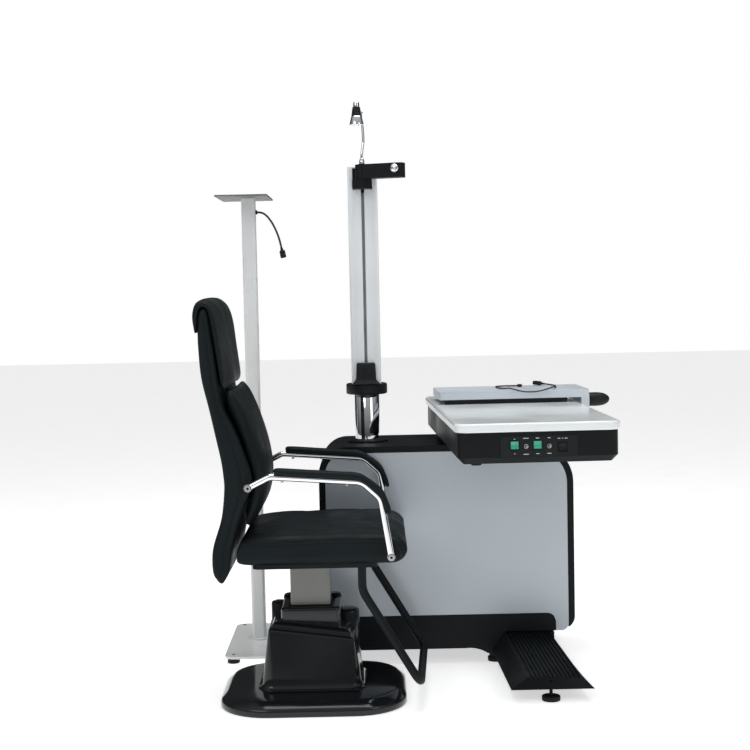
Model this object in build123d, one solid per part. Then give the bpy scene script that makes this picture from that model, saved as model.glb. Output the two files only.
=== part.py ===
from build123d import *
import os
from math import atan, degrees, pi, radians, tan

# Ophthalmic refraction unit, in millimetres, +Z up.
# Lift chair, instrument cabinet with mast, refractor arm and lamp, swing table, and projector stand.
# The layout is drawn with X along the cabinet, Y to the back and Y = 0 on the cabinet's front plane.
# Every part is then moved by SHIFT, so that the origin is the bottom centre of the whole unit.
SHIFT_X = 123.14
SHIFT_Y = -60.2

# Clearances
RUNNING_GAP = 0.05          # radial clearance of a shaft in its bore, or of a slide
PANEL_GAP = 0.4             # gap between fitted sheet parts

# Chair
CHAIR_Y = -309.0            # centre plane of the chair
LIFT_X = -203.0             # axis of the lift column
BASE_X0, BASE_X1, BASE_HALF, BASE_TOP = -468.0, 74.0, 246.0, 45.0
BASE_CORNER = 150.0
HOUSING_X0, HOUSING_X1, HOUSING_HALF, HOUSING_TOP = -347.0, -55.0, 121.0, 236.0
HOUSING_DRAFT = 22.0        # how far each wall leans in from bottom to top
COLLAR_X0, COLLAR_X1, COLLAR_HALF, COLLAR_TOP = -289.0, -115.0, 88.0, 278.0
COLUMN_SIDE = 116.0
COLUMN_LOW = 90.0
PAN_X0, PAN_X1, PAN_HALF = -356.0, -3.0, 232.0
PAN_BOTTOM, SEAT_BOTTOM, SEAT_TOP = 421.0, 434.0, 517.0
SEAT_HALF, SHELL_HALF, CUSHION_HALF = 255.0, 250.0, 226.0
ARM_OFFSET = 275.0          # armrest tubes, each side of the centre plane
ARM_TUBE_R = 9.5
ARM_EYE_HALF = 9.0          # half width of the flattened eye at each end of an armrest tube
FOOTREST_R = 12.0
FOOTREST_HALF = 218.0
FOOTREST_SKEW = 12.5        # how far the near leg hangs back and the far leg forward of the middle
FOOTREST_LEG_X, FOOTREST_BAR_X = -35.5, 124.0

# Cabinet
CAB_X0, CAB_X1, CAB_DEPTH, CAB_BOTTOM, CAB_TOP = -185.0, 622.0, 350.0, 104.0, 701.0
WRAP_THICK = 20.0
WRAP_LOW_R = 42.0           # lower corners of the band
WRAP_LEFT_R, WRAP_RIGHT_R = 86.0, 125.0
PLINTH_TOP, PLINTH_BOTTOM = 157.0, 31.0
PLINTH_X0, PLINTH_X1 = -164.0, 561.0
SHEET = 3.0

# Mast
MAST_X, MAST_Y = -28.0, 176.0
POLE_R = 40.0
COLLAR_Z0, COLLAR_Z1 = 857.0, 892.0
PROFILE_TOP = 1589.0
PROFILE_WIDTH, PROFILE_DEPTH = 96.0, 80.0
PROFILE_WALL = 10.0
CARRIAGE_Z0, ARM_Z0, ARM_Z1 = 1520.0, 1551.0, 1597.0
PIVOT_Y = 104.0             # vertical pivot of the refractor arm, in front of the mast
ARM_YAW = -20.0             # the arm points to the right and 20 degrees towards the patient
ARM_HALF_WIDTH = 22.0
STUD_DISTANCE = 120.0       # from the pivot to the bore for the refractor's stud
ARM_REACH = 142.0           # from the pivot to the end of the arm
KNOB_Z = 1579.0
STUD_R = 8.0

# Lamp
LAMP_X, LAMP_PIVOT_Z = -42.0, 1765.0
LAMP_Y = 126.0              # tilt pin
HEAD_Y = 96.0               # axis of the lamp head

# Table, drawn square to the unit about its pivot and then turned by TABLE_YAW
TABLE_X, TABLE_Y, TABLE_YAW = 412.0, 176.0, 2.5
TABLE_HALF = 232.0
TABLE_NEAR, TABLE_FAR = -790.0, 250.0
TRAY_BOTTOM, TABLE_RIM, TABLE_TOP = 713.0, 801.0, 826.0
TRAY_INSET = 8.0
POST_R = 30.0
PANEL_X0, PANEL_X1, PANEL_Z0, PANEL_Z1 = -106.0, 107.0, 732.0, 789.0
ROCKERS = {"power_rocker": (-67.5, 764.0), "lamp_rocker": (-4.0, 764.0), "aux_rocker": (65.5, 757.0)}
TOGGLES = {"chair_toggle": (-36.0, 761.0), "column_toggle": (28.0, 761.0)}
ROCKER_HALF = 10.5
ROCKER_TILT = -7.0
PLATE_X0, PLATE_X1, PLATE_Y0, PLATE_Y1 = -214.0, 266.0, -135.0, 105.0
PLATE_Z0, PLATE_Z1 = 841.0, 866.0
END_BLOCK_X, END_BLOCK_BOTTOM = 241.0, 806.0
HANDLE_Y, HANDLE_Z, HANDLE_LENGTH = -70.0, 828.0, 78.0
BRAKE_X, BRAKE_Y = -161.0, -640.0

# Projector stand
STAND_X, STAND_Y = -410.0, 290.0
STAND_HALF = 23.0
STAND_TOP = 1508.0
FOOT_X0, FOOT_X1, FOOT_Y0, FOOT_Y1 = -505.0, -225.0, 40.0, 505.0
FOOT_Z0, FOOT_Z1 = 17.0, 25.0
STAND_BOLTS = [(-477.0, 478.0), (-253.0, 478.0), (-477.0, 68.0), (-253.0, 68.0)]
PLATE_HOLE_X, PLATE_HOLE_Y, PLATE_HOLE_R = 110.0, 200.0, 3.3

# Outrigger step
STEP_LEVELLER_X, STEP_LEVELLER_Y = 491.0, -430.0

# Cords: diameter and route points
STAND_CORD_D = 7.0
STAND_CORD = [(-381.0, 290.0, 1462.0), (-366.0, 290.0, 1462.0), (-348.0, 291.0, 1449.0),
              (-331.0, 294.0, 1424.0), (-318.0, 296.0, 1395.0), (-309.0, 296.0, 1368.0),
              (-305.0, 296.0, 1348.0)]
TABLE_CORD_D = 4.5
TABLE_CORD = [(60.0, 35.0, 870.5), (40.0, 35.0, 870.5), (12.0, 59.0, 869.0), (-12.0, 41.0, 869.0),
              (-16.0, -5.0, 869.0), (-10.0, -55.0, 869.5), (0.0, -97.0, 871.5), (12.0, -125.0, 874.5),
              (30.0, -146.0, 869.0), (62.0, -150.0, 862.0), (100.0, -148.0, 863.0), (132.0, -142.0, 870.5),
              (152.0, -117.0, 874.0), (166.0, -77.0, 870.0), (176.0, -31.0, 869.0), (182.0, 17.0, 869.0),
              (174.0, 55.0, 870.0), (156.0, 65.0, 872.0)]
PLUG_LENGTH = 42.0


def box(x0, x1, y0, y1, z0, z1):
    """Box between two corners."""
    return Pos((x0 + x1) / 2, (y0 + y1) / 2, (z0 + z1) / 2) * Box(x1 - x0, y1 - y0, z1 - z0)


def rod(x, y, z0, z1, radius):
    """Upright cylinder."""
    return Pos(x, y, (z0 + z1) / 2) * Cylinder(radius, z1 - z0)


def rod_x(x0, x1, y, z, radius):
    """Cylinder along X."""
    return Pos((x0 + x1) / 2, y, z) * Rot(0, 90, 0) * Cylinder(radius, x1 - x0)


def rod_y(x, y0, y1, z, radius):
    """Cylinder along Y."""
    return Pos(x, (y0 + y1) / 2, z) * Rot(90, 0, 0) * Cylinder(radius, y1 - y0)


def slab(x0, x1, y0, y1, z0, z1, corner):
    """Plate with rounded upright corners."""
    plan = Pos((x0 + x1) / 2, (y0 + y1) / 2, z0) * RectangleRounded(x1 - x0, y1 - y0, corner)
    return extrude(plan, amount=z1 - z0)


def tapered(x0, x1, y0, y1, z0, z1, corner, inset):
    """Rounded block whose four walls lean in by inset at the top."""
    plan = Pos((x0 + x1) / 2, (y0 + y1) / 2, z0) * RectangleRounded(x1 - x0, y1 - y0, corner)
    return extrude(plan, amount=z1 - z0, taper=degrees(atan(inset / (z1 - z0))))


def side_profile(edges, y0, y1):
    """Solid between two Y planes from a closed outline drawn in X and Z at Y = 0."""
    face = make_face(edges)
    return Pos(0, y0, 0) * extrude(face, amount=y1 - y0, dir=(0, 1, 0))


def curve(points):
    """Smooth open edge through (x, z) points."""
    return Spline(*[(x, 0, z) for x, z in points])


def line(a, b):
    """Straight edge between two (x, z) points."""
    return Line((a[0], 0, a[1]), (b[0], 0, b[1]))


def framed(x0, x1, z0, z1, radii):
    """Rounded rectangle in X and Z at Y = 0; radii go low left, low right, high right, high left."""
    corners = [(x0, z0), (x1, z0), (x1, z1), (x0, z1)]
    path = FilletPolyline(*[(x, 0, z) for x, z in corners], radius=radii, close=True)
    return make_face(path)


def bent_bar(points, radii, radius):
    """Round bar along straight runs joined by tangent arcs."""
    path = FilletPolyline(*points, radius=radii)
    start = Plane(origin=path @ 0, z_dir=path % 0)
    return sweep(start * Circle(radius), path=path)


def cord_radii(points):
    """Largest tangent arc at each inner point: 0.45 of the shorter run over tan of half the turn."""
    radii = []
    for a, b, c in zip(points, points[1:], points[2:]):
        first, second = Vector(*b) - Vector(*a), Vector(*c) - Vector(*b)
        half_turn = radians(first.get_angle(second)) / 2
        radii.append(0.45 * min(first.length, second.length) / tan(half_turn))
    return radii


def cord_tube(name, points, diameter):
    """Cord along its route, with its smallest bend and its volume against section times length printed."""
    radii = cord_radii(points)
    path = FilletPolyline(*points, radius=radii)
    start = Plane(origin=path @ 0, z_dir=path % 0)
    tube = sweep(start * Circle(diameter / 2), path=path)
    expected = pi * diameter ** 2 / 4 * path.length
    print(f"{name}: length {path.length:.1f}, radii {[round(r) for r in radii]}")
    print(f"{name}: volume over section times length {tube.volume / expected:.4f}")
    return tube


# ---------------------------------------------------------------- chair: base and lift

def chair_base_plate():
    """Floor plate: upright rim, then a wide bevel up to the flat top."""
    rim = slab(BASE_X0, BASE_X1, CHAIR_Y - BASE_HALF, CHAIR_Y + BASE_HALF, 0, 20, BASE_CORNER)
    bevel = tapered(BASE_X0, BASE_X1, CHAIR_Y - BASE_HALF, CHAIR_Y + BASE_HALF, 20, BASE_TOP, BASE_CORNER, 22)
    return rim + bevel


def chair_lift_housing():
    """Hollow cover over the fixed column, open at the bottom, with a square mouth for the moving column."""
    wall = 4.0
    low = tapered(HOUSING_X0, HOUSING_X1, CHAIR_Y - HOUSING_HALF, CHAIR_Y + HOUSING_HALF,
                  BASE_TOP, HOUSING_TOP, 30, HOUSING_DRAFT)
    collar = slab(COLLAR_X0, COLLAR_X1, CHAIR_Y - COLLAR_HALF, CHAIR_Y + COLLAR_HALF,
                  HOUSING_TOP, COLLAR_TOP, 18)
    hollow = tapered(HOUSING_X0 + wall, HOUSING_X1 - wall, CHAIR_Y - HOUSING_HALF + wall,
                     CHAIR_Y + HOUSING_HALF - wall, BASE_TOP, HOUSING_TOP - wall, 26, HOUSING_DRAFT)
    collar_hollow = slab(COLLAR_X0 + wall, COLLAR_X1 - wall, CHAIR_Y - COLLAR_HALF + wall,
                         CHAIR_Y + COLLAR_HALF - wall, HOUSING_TOP - wall - 1, COLLAR_TOP - wall, 14)
    mouth_side = COLUMN_SIDE + 3
    mouth = Pos(LIFT_X, CHAIR_Y, COLLAR_TOP) * Box(mouth_side, mouth_side, 20)
    return low + collar - hollow - collar_hollow - mouth


def square_tube(side, corner, z0, z1):
    """Solid square bar on the lift axis with rounded corners."""
    half = side / 2
    return slab(LIFT_X - half, LIFT_X + half, CHAIR_Y - half, CHAIR_Y + half, z0, z1, corner)


def lift_outer_tube():
    """Fixed column, welded to the base plate inside the housing."""
    bore = COLUMN_SIDE + 2 * RUNNING_GAP
    return square_tube(134, 12, BASE_TOP, COLLAR_TOP - 6) - square_tube(bore, 6, BASE_TOP - 1, COLLAR_TOP)


def lift_inner_tube():
    """Moving column, welded to the seat pan."""
    tube = square_tube(COLUMN_SIDE, 6, COLUMN_LOW, PAN_BOTTOM)
    return tube - square_tube(COLUMN_SIDE - 8, 3, COLUMN_LOW - 1, PAN_BOTTOM + 1)


def lift_actuator():
    """Electric actuator: gearmotor foot and guide barrel, standing on the base plate."""
    body = rod(LIFT_X, CHAIR_Y, BASE_TOP, 85, 38) + rod(LIFT_X, CHAIR_Y, 85, 262, 24)
    return body - rod(LIFT_X, CHAIR_Y, 56, 263, 12 + RUNNING_GAP)


def lift_push_rod():
    """Actuator rod that carries the seat pan."""
    return rod(LIFT_X, CHAIR_Y, 100, PAN_BOTTOM, 12)


# ---------------------------------------------------------------- chair: seat and back

def seat_pan():
    """Steel pan under the seat cushion."""
    return slab(PAN_X0, PAN_X1, CHAIR_Y - PAN_HALF, CHAIR_Y + PAN_HALF, PAN_BOTTOM, SEAT_BOTTOM, 20)


def seat_cushion():
    """Seat cushion as a plain solid: flat bottom, rolled front edge, crowned top."""
    front = curve([(56, SEAT_BOTTOM), (80, 449), (87, 470), (80, 490), (60, 505), (40, 512)])
    top = curve([(40, 512), (-120, SEAT_TOP), (-300, 511), (-368, 502)])
    back = curve([(-368, 502), (-394, 486), (-396, 450), (-388, SEAT_BOTTOM)])
    bottom = line((-388, SEAT_BOTTOM), (56, SEAT_BOTTOM))
    return side_profile([front, top, back, bottom], CHAIR_Y - SEAT_HALF, CHAIR_Y + SEAT_HALF)


SHELL_REAR = [(-478, 1160), (-489, 1090), (-489, 1031), (-475, 925), (-445, 787), (-427, 645), (-436, 572),
              (-460, 491), (-466, 430), (-455, 393)]
SHELL_FRONT = [(-421, 418), (-412, 476), (-382, 566), (-352, 650), (-350, 680), (-366, 738), (-392, 810),
               (-426, 885), (-437, 960), (-448, 1050), (-457, 1110), (-464, 1160)]


def back_shell():
    """Upholstered shell of the backrest, curved to the spine, hooked down behind the seat."""
    toe = ThreePointArc((-455, 0, 393), (-439, 0, 382), (-421, 0, 418))
    edges = [curve(SHELL_REAR), toe, curve(SHELL_FRONT), line((-464, 1160), (-478, 1160))]
    return side_profile(edges, CHAIR_Y - SHELL_HALF, CHAIR_Y + SHELL_HALF)


def back_cushion():
    """Backrest cushion on the front of the shell, from the seat up to the headrest."""
    front = curve([(-398, 932), (-366, 884), (-338, 792), (-323, 732), (-316, 673), (-317, 640), (-326, 606),
                   (-350, 554), (-374, 524)])
    back = curve([(-384, 528), (-377, 560), (-346, 655), (-346, 682), (-361, 740), (-386, 810), (-420, 885),
                  (-427, 922)])
    edges = [front, line((-374, 524), (-384, 528)), back, line((-427, 922), (-398, 932))]
    return side_profile(edges, CHAIR_Y - CUSHION_HALF, CHAIR_Y + CUSHION_HALF)


def headrest_cushion():
    """Headrest that folds over the top of the shell and hangs down behind it."""
    outer = curve([(-418, 930), (-409, 956), (-414, 1000), (-420, 1044), (-426, 1103), (-434, 1142),
                   (-450, 1170), (-474, 1184), (-502, 1172), (-512, 1138), (-510, 1104), (-498, 1082)])
    rear_inside = curve([(-492, 1086), (-488, 1128), (-481, 1163)])
    front_inside = curve([(-460, 1163), (-452, 1110), (-443, 1050), (-432, 960), (-427, 936)])
    edges = [outer, line((-498, 1082), (-492, 1086)), rear_inside, line((-481, 1163), (-460, 1163)),
             front_inside, line((-427, 936), (-418, 930))]
    return side_profile(edges, CHAIR_Y - SHELL_HALF + 4, CHAIR_Y + SHELL_HALF - 4)


ARM_PATH = [(-358, 658), (-298, 688), (-42, 669), (9, 622), (17, 568), (35, 458)]
ARM_RADII = [38, 50, 40, 120]
PAD_PATH = [(-284, 703), (-50, 686), (12, 641), (35, 576)]
PAD_RADII = [60, 45]
PAD_SCREWS = [(-263, 685.4), (-84, 672.1)]


def arm_bar(y, radius):
    """Round bar along the armrest's bent line."""
    return bent_bar([(x, y, z) for x, z in ARM_PATH], ARM_RADII, radius)


def armrest_side(side):
    """One bent armrest tube, with cross holes for its two bolts."""
    y = CHAIR_Y + side * ARM_OFFSET
    bar = arm_bar(y, ARM_TUBE_R)
    for x, z in (ARM_PATH[0], ARM_PATH[-1]):
        bar += rod_y(x, y - ARM_EYE_HALF, y + ARM_EYE_HALF, z, ARM_TUBE_R + 1)
        bar -= rod_y(x, y - 20, y - ARM_EYE_HALF, z, ARM_TUBE_R + 3)
        bar -= rod_y(x, y + ARM_EYE_HALF, y + 20, z, ARM_TUBE_R + 3)
        bar -= rod_y(x, y - 20, y + 20, z, 4.1)
    for x, z in PAD_SCREWS:
        bar -= rod(x, y, z - 20, z + 20, 2.1)
    return bar


def armrest_frames():
    """The two chromed armrest tubes."""
    return Compound([armrest_side(-1), armrest_side(1)])


def armrest_pads():
    """The two soft pads, each with a groove that sits on its armrest tube."""
    pads = []
    for side in (-1, 1):
        y = CHAIR_Y + side * ARM_OFFSET
        path = FilletPolyline(*[(x, y, z) for x, z in PAD_PATH], radius=PAD_RADII)
        start = Plane(origin=path @ 0, x_dir=(0, 1, 0), z_dir=path % 0)
        pad = sweep(start * RectangleRounded(46, 16, 7), path=path)
        pad -= arm_bar(y, ARM_TUBE_R + 0.2)
        for x, z in PAD_SCREWS:
            pad -= rod(x, y, z, z + ARM_TUBE_R + 4, 2.1)
        pads.append(pad)
    return Compound(pads)


def armrest_bolts():
    """Spacer, shank and head of each armrest bolt, and the pad screws with their heads below the tube."""
    bolts = []
    for side in (-1, 1):
        y = CHAIR_Y + side * ARM_OFFSET
        for (x, z), half in ((ARM_PATH[0], SHELL_HALF), (ARM_PATH[-1], SEAT_HALF)):
            inner = CHAIR_Y + side * half
            low, high = sorted((inner, y - side * ARM_EYE_HALF))
            spacer = rod_y(x, low, high, z, 9)
            low, high = sorted((y - side * ARM_EYE_HALF, y + side * ARM_EYE_HALF))
            shank = rod_y(x, low, high, z, 4)
            low, high = sorted((y + side * ARM_EYE_HALF, y + side * (ARM_EYE_HALF + 5)))
            bolts.append(spacer + shank + rod_y(x, low, high, z, 8))
        for x, z in PAD_SCREWS:
            under = z - ARM_TUBE_R - 0.8
            bolts.append(rod(x, y, under, z + ARM_TUBE_R + 3.5, 2) + rod(x, y, under - 3.2, under, 4))
    return Compound(bolts)


def footrest_loop():
    """Bent tube that hangs a little askew from the seat pan: two legs and a cross bar."""
    side = [(FOOTREST_LEG_X, PAN_BOTTOM), (FOOTREST_LEG_X, 352), (FOOTREST_BAR_X, 84)]
    near = [(x - FOOTREST_SKEW, CHAIR_Y - FOOTREST_HALF, z) for x, z in side]
    far = [(x + FOOTREST_SKEW, CHAIR_Y + FOOTREST_HALF, z) for x, z in reversed(side)]
    return bent_bar(near + far, [70, 38, 38, 70], FOOTREST_R)


# ---------------------------------------------------------------- cabinet

def wrap_radii(inset):
    """Corner radii of the band, drawn in by inset."""
    return [r - inset for r in (WRAP_LOW_R, WRAP_LOW_R, WRAP_RIGHT_R, WRAP_LEFT_R)]


def cabinet_wrap():
    """Black band: flat top and two sides in one bent sheet, with rounded lower ends."""
    outer = framed(CAB_X0, CAB_X1, CAB_BOTTOM, CAB_TOP, wrap_radii(0))
    inner = framed(CAB_X0 + WRAP_THICK, CAB_X1 - WRAP_THICK, CAB_BOTTOM - 60, CAB_TOP - WRAP_THICK,
                   wrap_radii(WRAP_THICK))
    wrap = extrude(outer, amount=CAB_DEPTH, dir=(0, 1, 0)) - extrude(inner, amount=CAB_DEPTH, dir=(0, 1, 0))
    wrap -= rod(MAST_X, MAST_Y, CAB_TOP - 40, CAB_TOP + 1, POLE_R + 1)
    return wrap - rod(TABLE_X, TABLE_Y, CAB_TOP - 40, CAB_TOP + 1, POST_R + 1)


def cabinet_panel(y0, y1):
    """Silver sheet that fills the band."""
    gap = WRAP_THICK + PANEL_GAP
    face = framed(CAB_X0 + gap, CAB_X1 - gap, CAB_BOTTOM - 4, CAB_TOP - gap, wrap_radii(gap - 1))
    return Pos(0, y0, 0) * extrude(face, amount=y1 - y0, dir=(0, 1, 0))


def plinth_window(grow):
    """Space that the plinth takes out of the silver sheets."""
    face = framed(CAB_X0 - 60, PLINTH_X1 + grow, -80, PLINTH_TOP + grow, [28 + grow] * 4)
    return Pos(0, -10, 0) * extrude(face, amount=CAB_DEPTH + 20, dir=(0, 1, 0))


def cabinet_front_panel():
    return cabinet_panel(0.5, SHEET) - plinth_window(PANEL_GAP)


def cabinet_back_panel():
    return cabinet_panel(CAB_DEPTH - SHEET, CAB_DEPTH - 0.5) - plinth_window(PANEL_GAP)


def cabinet_plinth():
    """Hollow black plinth with arched openings between its legs, high on the right over the outrigger step."""
    arch_foot = 48
    edges = [
        Line((PLINTH_X0, 0, PLINTH_BOTTOM), (-108, 0, PLINTH_BOTTOM)),
        ThreePointArc((-108, 0, PLINTH_BOTTOM), (-90, 0, 43), (-60, 0, arch_foot)),
        Line((-60, 0, arch_foot), (272, 0, arch_foot)),
        ThreePointArc((272, 0, arch_foot), (318, 0, 43), (342, 0, PLINTH_BOTTOM)),
        Line((342, 0, PLINTH_BOTTOM), (400, 0, PLINTH_BOTTOM)),
        Line((400, 0, PLINTH_BOTTOM), (400, 0, 100)),
        Line((400, 0, 100), (PLINTH_X1, 0, 100)),
        Line((PLINTH_X1, 0, 100), (PLINTH_X1, 0, PLINTH_TOP - 28)),
        ThreePointArc((PLINTH_X1, 0, PLINTH_TOP - 28), (PLINTH_X1 - 8.2, 0, PLINTH_TOP - 8.2),
                      (PLINTH_X1 - 28, 0, PLINTH_TOP)),
        Line((PLINTH_X1 - 28, 0, PLINTH_TOP), (PLINTH_X0, 0, PLINTH_TOP)),
        Line((PLINTH_X0, 0, PLINTH_TOP), (PLINTH_X0, 0, PLINTH_BOTTOM)),
    ]
    body = side_profile(edges, 0, CAB_DEPTH)
    left_room = box(PLINTH_X0 + 6, 394, 6, CAB_DEPTH - 6, 0, PLINTH_TOP - 6)
    right_room = box(393, PLINTH_X1 - 6, 6, CAB_DEPTH - 6, 106, PLINTH_TOP - 10)
    body -= left_room + right_room
    for x0, x1 in ((342, 400), (PLINTH_X0, -108)):
        for y0, y1 in ((6, 60), (290, CAB_DEPTH - 6)):
            body += box(x0, x1, y0, y1, PLINTH_BOTTOM, 37)
    return body


def cabinet_frame():
    """Inner steel: a cross beam on the plinth with a socket for the mast and one for the table post."""
    beam = box(-130, 520, MAST_Y - 30, MAST_Y + 30, PLINTH_TOP, PLINTH_TOP + 40)
    high = CAB_TOP - WRAP_THICK
    frame = beam + rod(MAST_X, MAST_Y, PLINTH_TOP + 40, high, POLE_R + 10)
    frame += rod(TABLE_X, TABLE_Y, PLINTH_TOP + 40, high, POST_R + 10)
    frame -= rod(MAST_X, MAST_Y, PLINTH_TOP + 60, high + 1, POLE_R + 0.2)
    return frame - rod(TABLE_X, TABLE_Y, PLINTH_TOP + 60, high + 1, POST_R + 0.2)


def power_supply():
    """Mains power supply case, standing on the plinth behind the beam."""
    case = box(120, 300, 230, 320, PLINTH_TOP, PLINTH_TOP + 90)
    for k in range(5):
        case -= box(135 + 32 * k, 153 + 32 * k, 240, 310, PLINTH_TOP + 84, PLINTH_TOP + 91)
    return case


def levelling_feet():
    """Four cabinet feet, each a threaded stem head and a rubber pad."""
    feet = []
    for x in (-136, 371):
        for y in (33, 317):
            feet.append(rod(x, y, 0, 12, 27) + rod(x, y, 12, PLINTH_BOTTOM, 22))
    return Compound(feet)


def mast_pole():
    """Chromed column with a flange on the cabinet top, and a spigot above that the mast turns on."""
    flange = rod(MAST_X, MAST_Y, CAB_TOP, CAB_TOP + 12, 66)
    flange = chamfer(flange.edges().group_by(Axis.Z)[-1], length=5)
    pole = rod(MAST_X, MAST_Y, PLINTH_TOP + 60, COLLAR_Z0, POLE_R) + flange
    pole += rod(MAST_X, MAST_Y, COLLAR_Z0, COLLAR_Z0 + 28, 28)
    return pole - rod(MAST_X, MAST_Y, PLINTH_TOP + 59, COLLAR_Z0 - 12, POLE_R - 5)


def table_post():
    """Post that the table turns on, with a thrust flange on the cabinet top."""
    post = rod(TABLE_X, TABLE_Y, PLINTH_TOP + 60, TRAY_BOTTOM + 40, POST_R)
    return post + rod(TABLE_X, TABLE_Y, CAB_TOP, TRAY_BOTTOM - 0.3, 75)


def outrigger_step():
    """Ribbed cast foot in front of the cabinet, with a tongue bolted under the plinth."""
    low = Plane.XY.offset(38) * make_face(Polyline((357, -1), (374, -455), (615, -455), (561, -1), close=True))
    high = make_face(Polyline((393, -1, 96), (424, -421, 66), (582, -421, 66), (540, -1, 96), close=True))
    body = loft([low.face(), high])
    tongue = box(406, 555, -2, 220, 40, 96)
    ribs = body + tongue
    for k in range(12):
        front = 434 + 12.4 * k
        back = 402 + 11.6 * k
        cut = Polyline((front, -428, 62), (front + 6, -428, 62), (back + 5.5, 4, 93), (back, 4, 93), close=True)
        ribs -= extrude(make_face(cut), amount=12, dir=(0, 0, 1))
    return ribs - rod(STEP_LEVELLER_X, STEP_LEVELLER_Y, 30, 58, 5 + RUNNING_GAP)


def step_leveller():
    """Screw foot under the front of the outrigger step."""
    pad = rod(STEP_LEVELLER_X, STEP_LEVELLER_Y, 0, 14, 27)
    return fillet(pad.edges(), radius=2.5) + rod(STEP_LEVELLER_X, STEP_LEVELLER_Y, 13, 54, 5)


# ---------------------------------------------------------------- mast, arm and lamp

def mast_collar():
    """Black bearing ring that turns on the pole's spigot, with the moulded stop at the foot of the slot."""
    collar = rod(MAST_X, MAST_Y, COLLAR_Z0 + 0.3, COLLAR_Z1, 67)
    collar = fillet(collar.edges(), radius=3)
    front = MAST_Y - PROFILE_DEPTH / 2
    cover = box(MAST_X - 31, MAST_X + 29, front - 22, front, COLLAR_Z1 - 5, 961)
    cover = fillet(cover.edges().filter_by(Axis.Z).group_by(Axis.Y)[0], radius=9)
    collar += cover + box(MAST_X - 36, MAST_X + 36, front - 22, front, COLLAR_Z1 - 5, COLLAR_Z1 + 8)
    return collar - rod(MAST_X, MAST_Y, COLLAR_Z0 - 1, COLLAR_Z0 + 28.5, 28 + RUNNING_GAP)


def mast_profile():
    """Extruded aluminium column: hollow, with a slot and shallow grooves down its front."""
    front, back = MAST_Y - PROFILE_DEPTH / 2, MAST_Y + PROFILE_DEPTH / 2
    left, right = MAST_X - PROFILE_WIDTH / 2, MAST_X + PROFILE_WIDTH / 2
    body = slab(left, right, front, back, COLLAR_Z1, PROFILE_TOP, 7)
    body -= box(left + PROFILE_WALL, right - PROFILE_WALL, front + PROFILE_WALL, back - PROFILE_WALL,
                COLLAR_Z1 - 1, PROFILE_TOP + 1)
    body -= box(MAST_X - 5, MAST_X + 5, front - 1, front + PROFILE_WALL + 1, 961, PROFILE_TOP + 1)
    for side in (-1, 1):
        groove = MAST_X + side * 30
        body -= box(groove - 1.5, groove + 1.5, front - 1, front + 2, COLLAR_Z1 - 1, PROFILE_TOP + 1)
        for edge, inward in ((left, 1), (right, -1)):
            y = MAST_Y + side * 22
            low, high = sorted((edge - inward, edge + 3 * inward))
            body -= box(low, high, y - 4, y + 4, COLLAR_Z1 - 1, PROFILE_TOP + 1)
    return body


def mast_top_cap():
    """Moulded end cap of the mast, plugged into the extrusion."""
    left, right = MAST_X - PROFILE_WIDTH / 2, MAST_X + PROFILE_WIDTH / 2
    front, back = MAST_Y - PROFILE_DEPTH / 2, MAST_Y + PROFILE_DEPTH / 2
    cap = slab(left, right, front, back, PROFILE_TOP, PROFILE_TOP + 4, 7)
    inset = PROFILE_WALL + 0.3
    plug = box(left + inset, right - inset, front + inset + 24, back - inset, PROFILE_TOP - 8, PROFILE_TOP)
    return cap + plug


def counterweight():
    """Steel bar inside the mast that balances the arm."""
    return box(MAST_X - 33, MAST_X + 33, MAST_Y - 2, MAST_Y + 28, 905, 1085)


def arm_carriage():
    """Carriage: slider in the mast, neck through the slot, block in front and upright pivot pin."""
    front = MAST_Y - PROFILE_DEPTH / 2
    inside = front + PROFILE_WALL + RUNNING_GAP
    slider = box(MAST_X - 34, MAST_X + 34, inside, inside + 20, 1510, 1580)
    neck = box(MAST_X - 5 + RUNNING_GAP, MAST_X + 5 - RUNNING_GAP, front - 1, inside, 1510, 1580)
    back = box(-60, 3, front - 9, front - RUNNING_GAP, CARRIAGE_Z0, 1588)
    block = box(-60, 3, PIVOT_Y - 22, front - 9, CARRIAGE_Z0, ARM_Z0 - 0.3)
    block = fillet(block.edges().filter_by(Axis.Z).group_by(Axis.Y)[0], radius=12)
    pin = rod(MAST_X, PIVOT_Y, ARM_Z0 - 1, ARM_Z1 + 2, 12) + rod(MAST_X, PIVOT_Y, ARM_Z1 + 2, ARM_Z1 + 13, 5)
    return slider + neck + back + block + pin


def on_arm(shape):
    """Place a shape drawn along +X from the pivot onto the arm's direction."""
    return Pos(MAST_X, PIVOT_Y, 0) * Rot(0, 0, ARM_YAW) * shape


def refractor_arm():
    """Arm with a pivot barrel and, near its rounded end, an upright bore for the refractor's stud."""
    bar = slab(0, ARM_REACH, -ARM_HALF_WIDTH, ARM_HALF_WIDTH, ARM_Z0, ARM_Z1, 12)
    bar += rod(0, 0, ARM_Z0, ARM_Z1, ARM_HALF_WIDTH)
    bar -= rod(0, 0, ARM_Z0 - 1, ARM_Z1 + 1, 12 + RUNNING_GAP)
    bar -= rod(STUD_DISTANCE, 0, ARM_Z0 - 1, ARM_Z1 + 1, STUD_R)
    bar -= rod_y(STUD_DISTANCE, -ARM_HALF_WIDTH - 1, 0, KNOB_Z, 4 + RUNNING_GAP)
    return on_arm(bar)


def arm_lock_knob():
    """Clamp screw with a round knob, on the front of the arm."""
    knob = rod_y(STUD_DISTANCE, -ARM_HALF_WIDTH - 13, -ARM_HALF_WIDTH - 0.3, KNOB_Z, 13.5)
    knob = chamfer(knob.edges().group_by(Axis.Y)[0], length=1.5)
    return on_arm(knob + rod_y(STUD_DISTANCE, -ARM_HALF_WIDTH - 1, -STUD_R - 0.8, KNOB_Z, 4))


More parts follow.
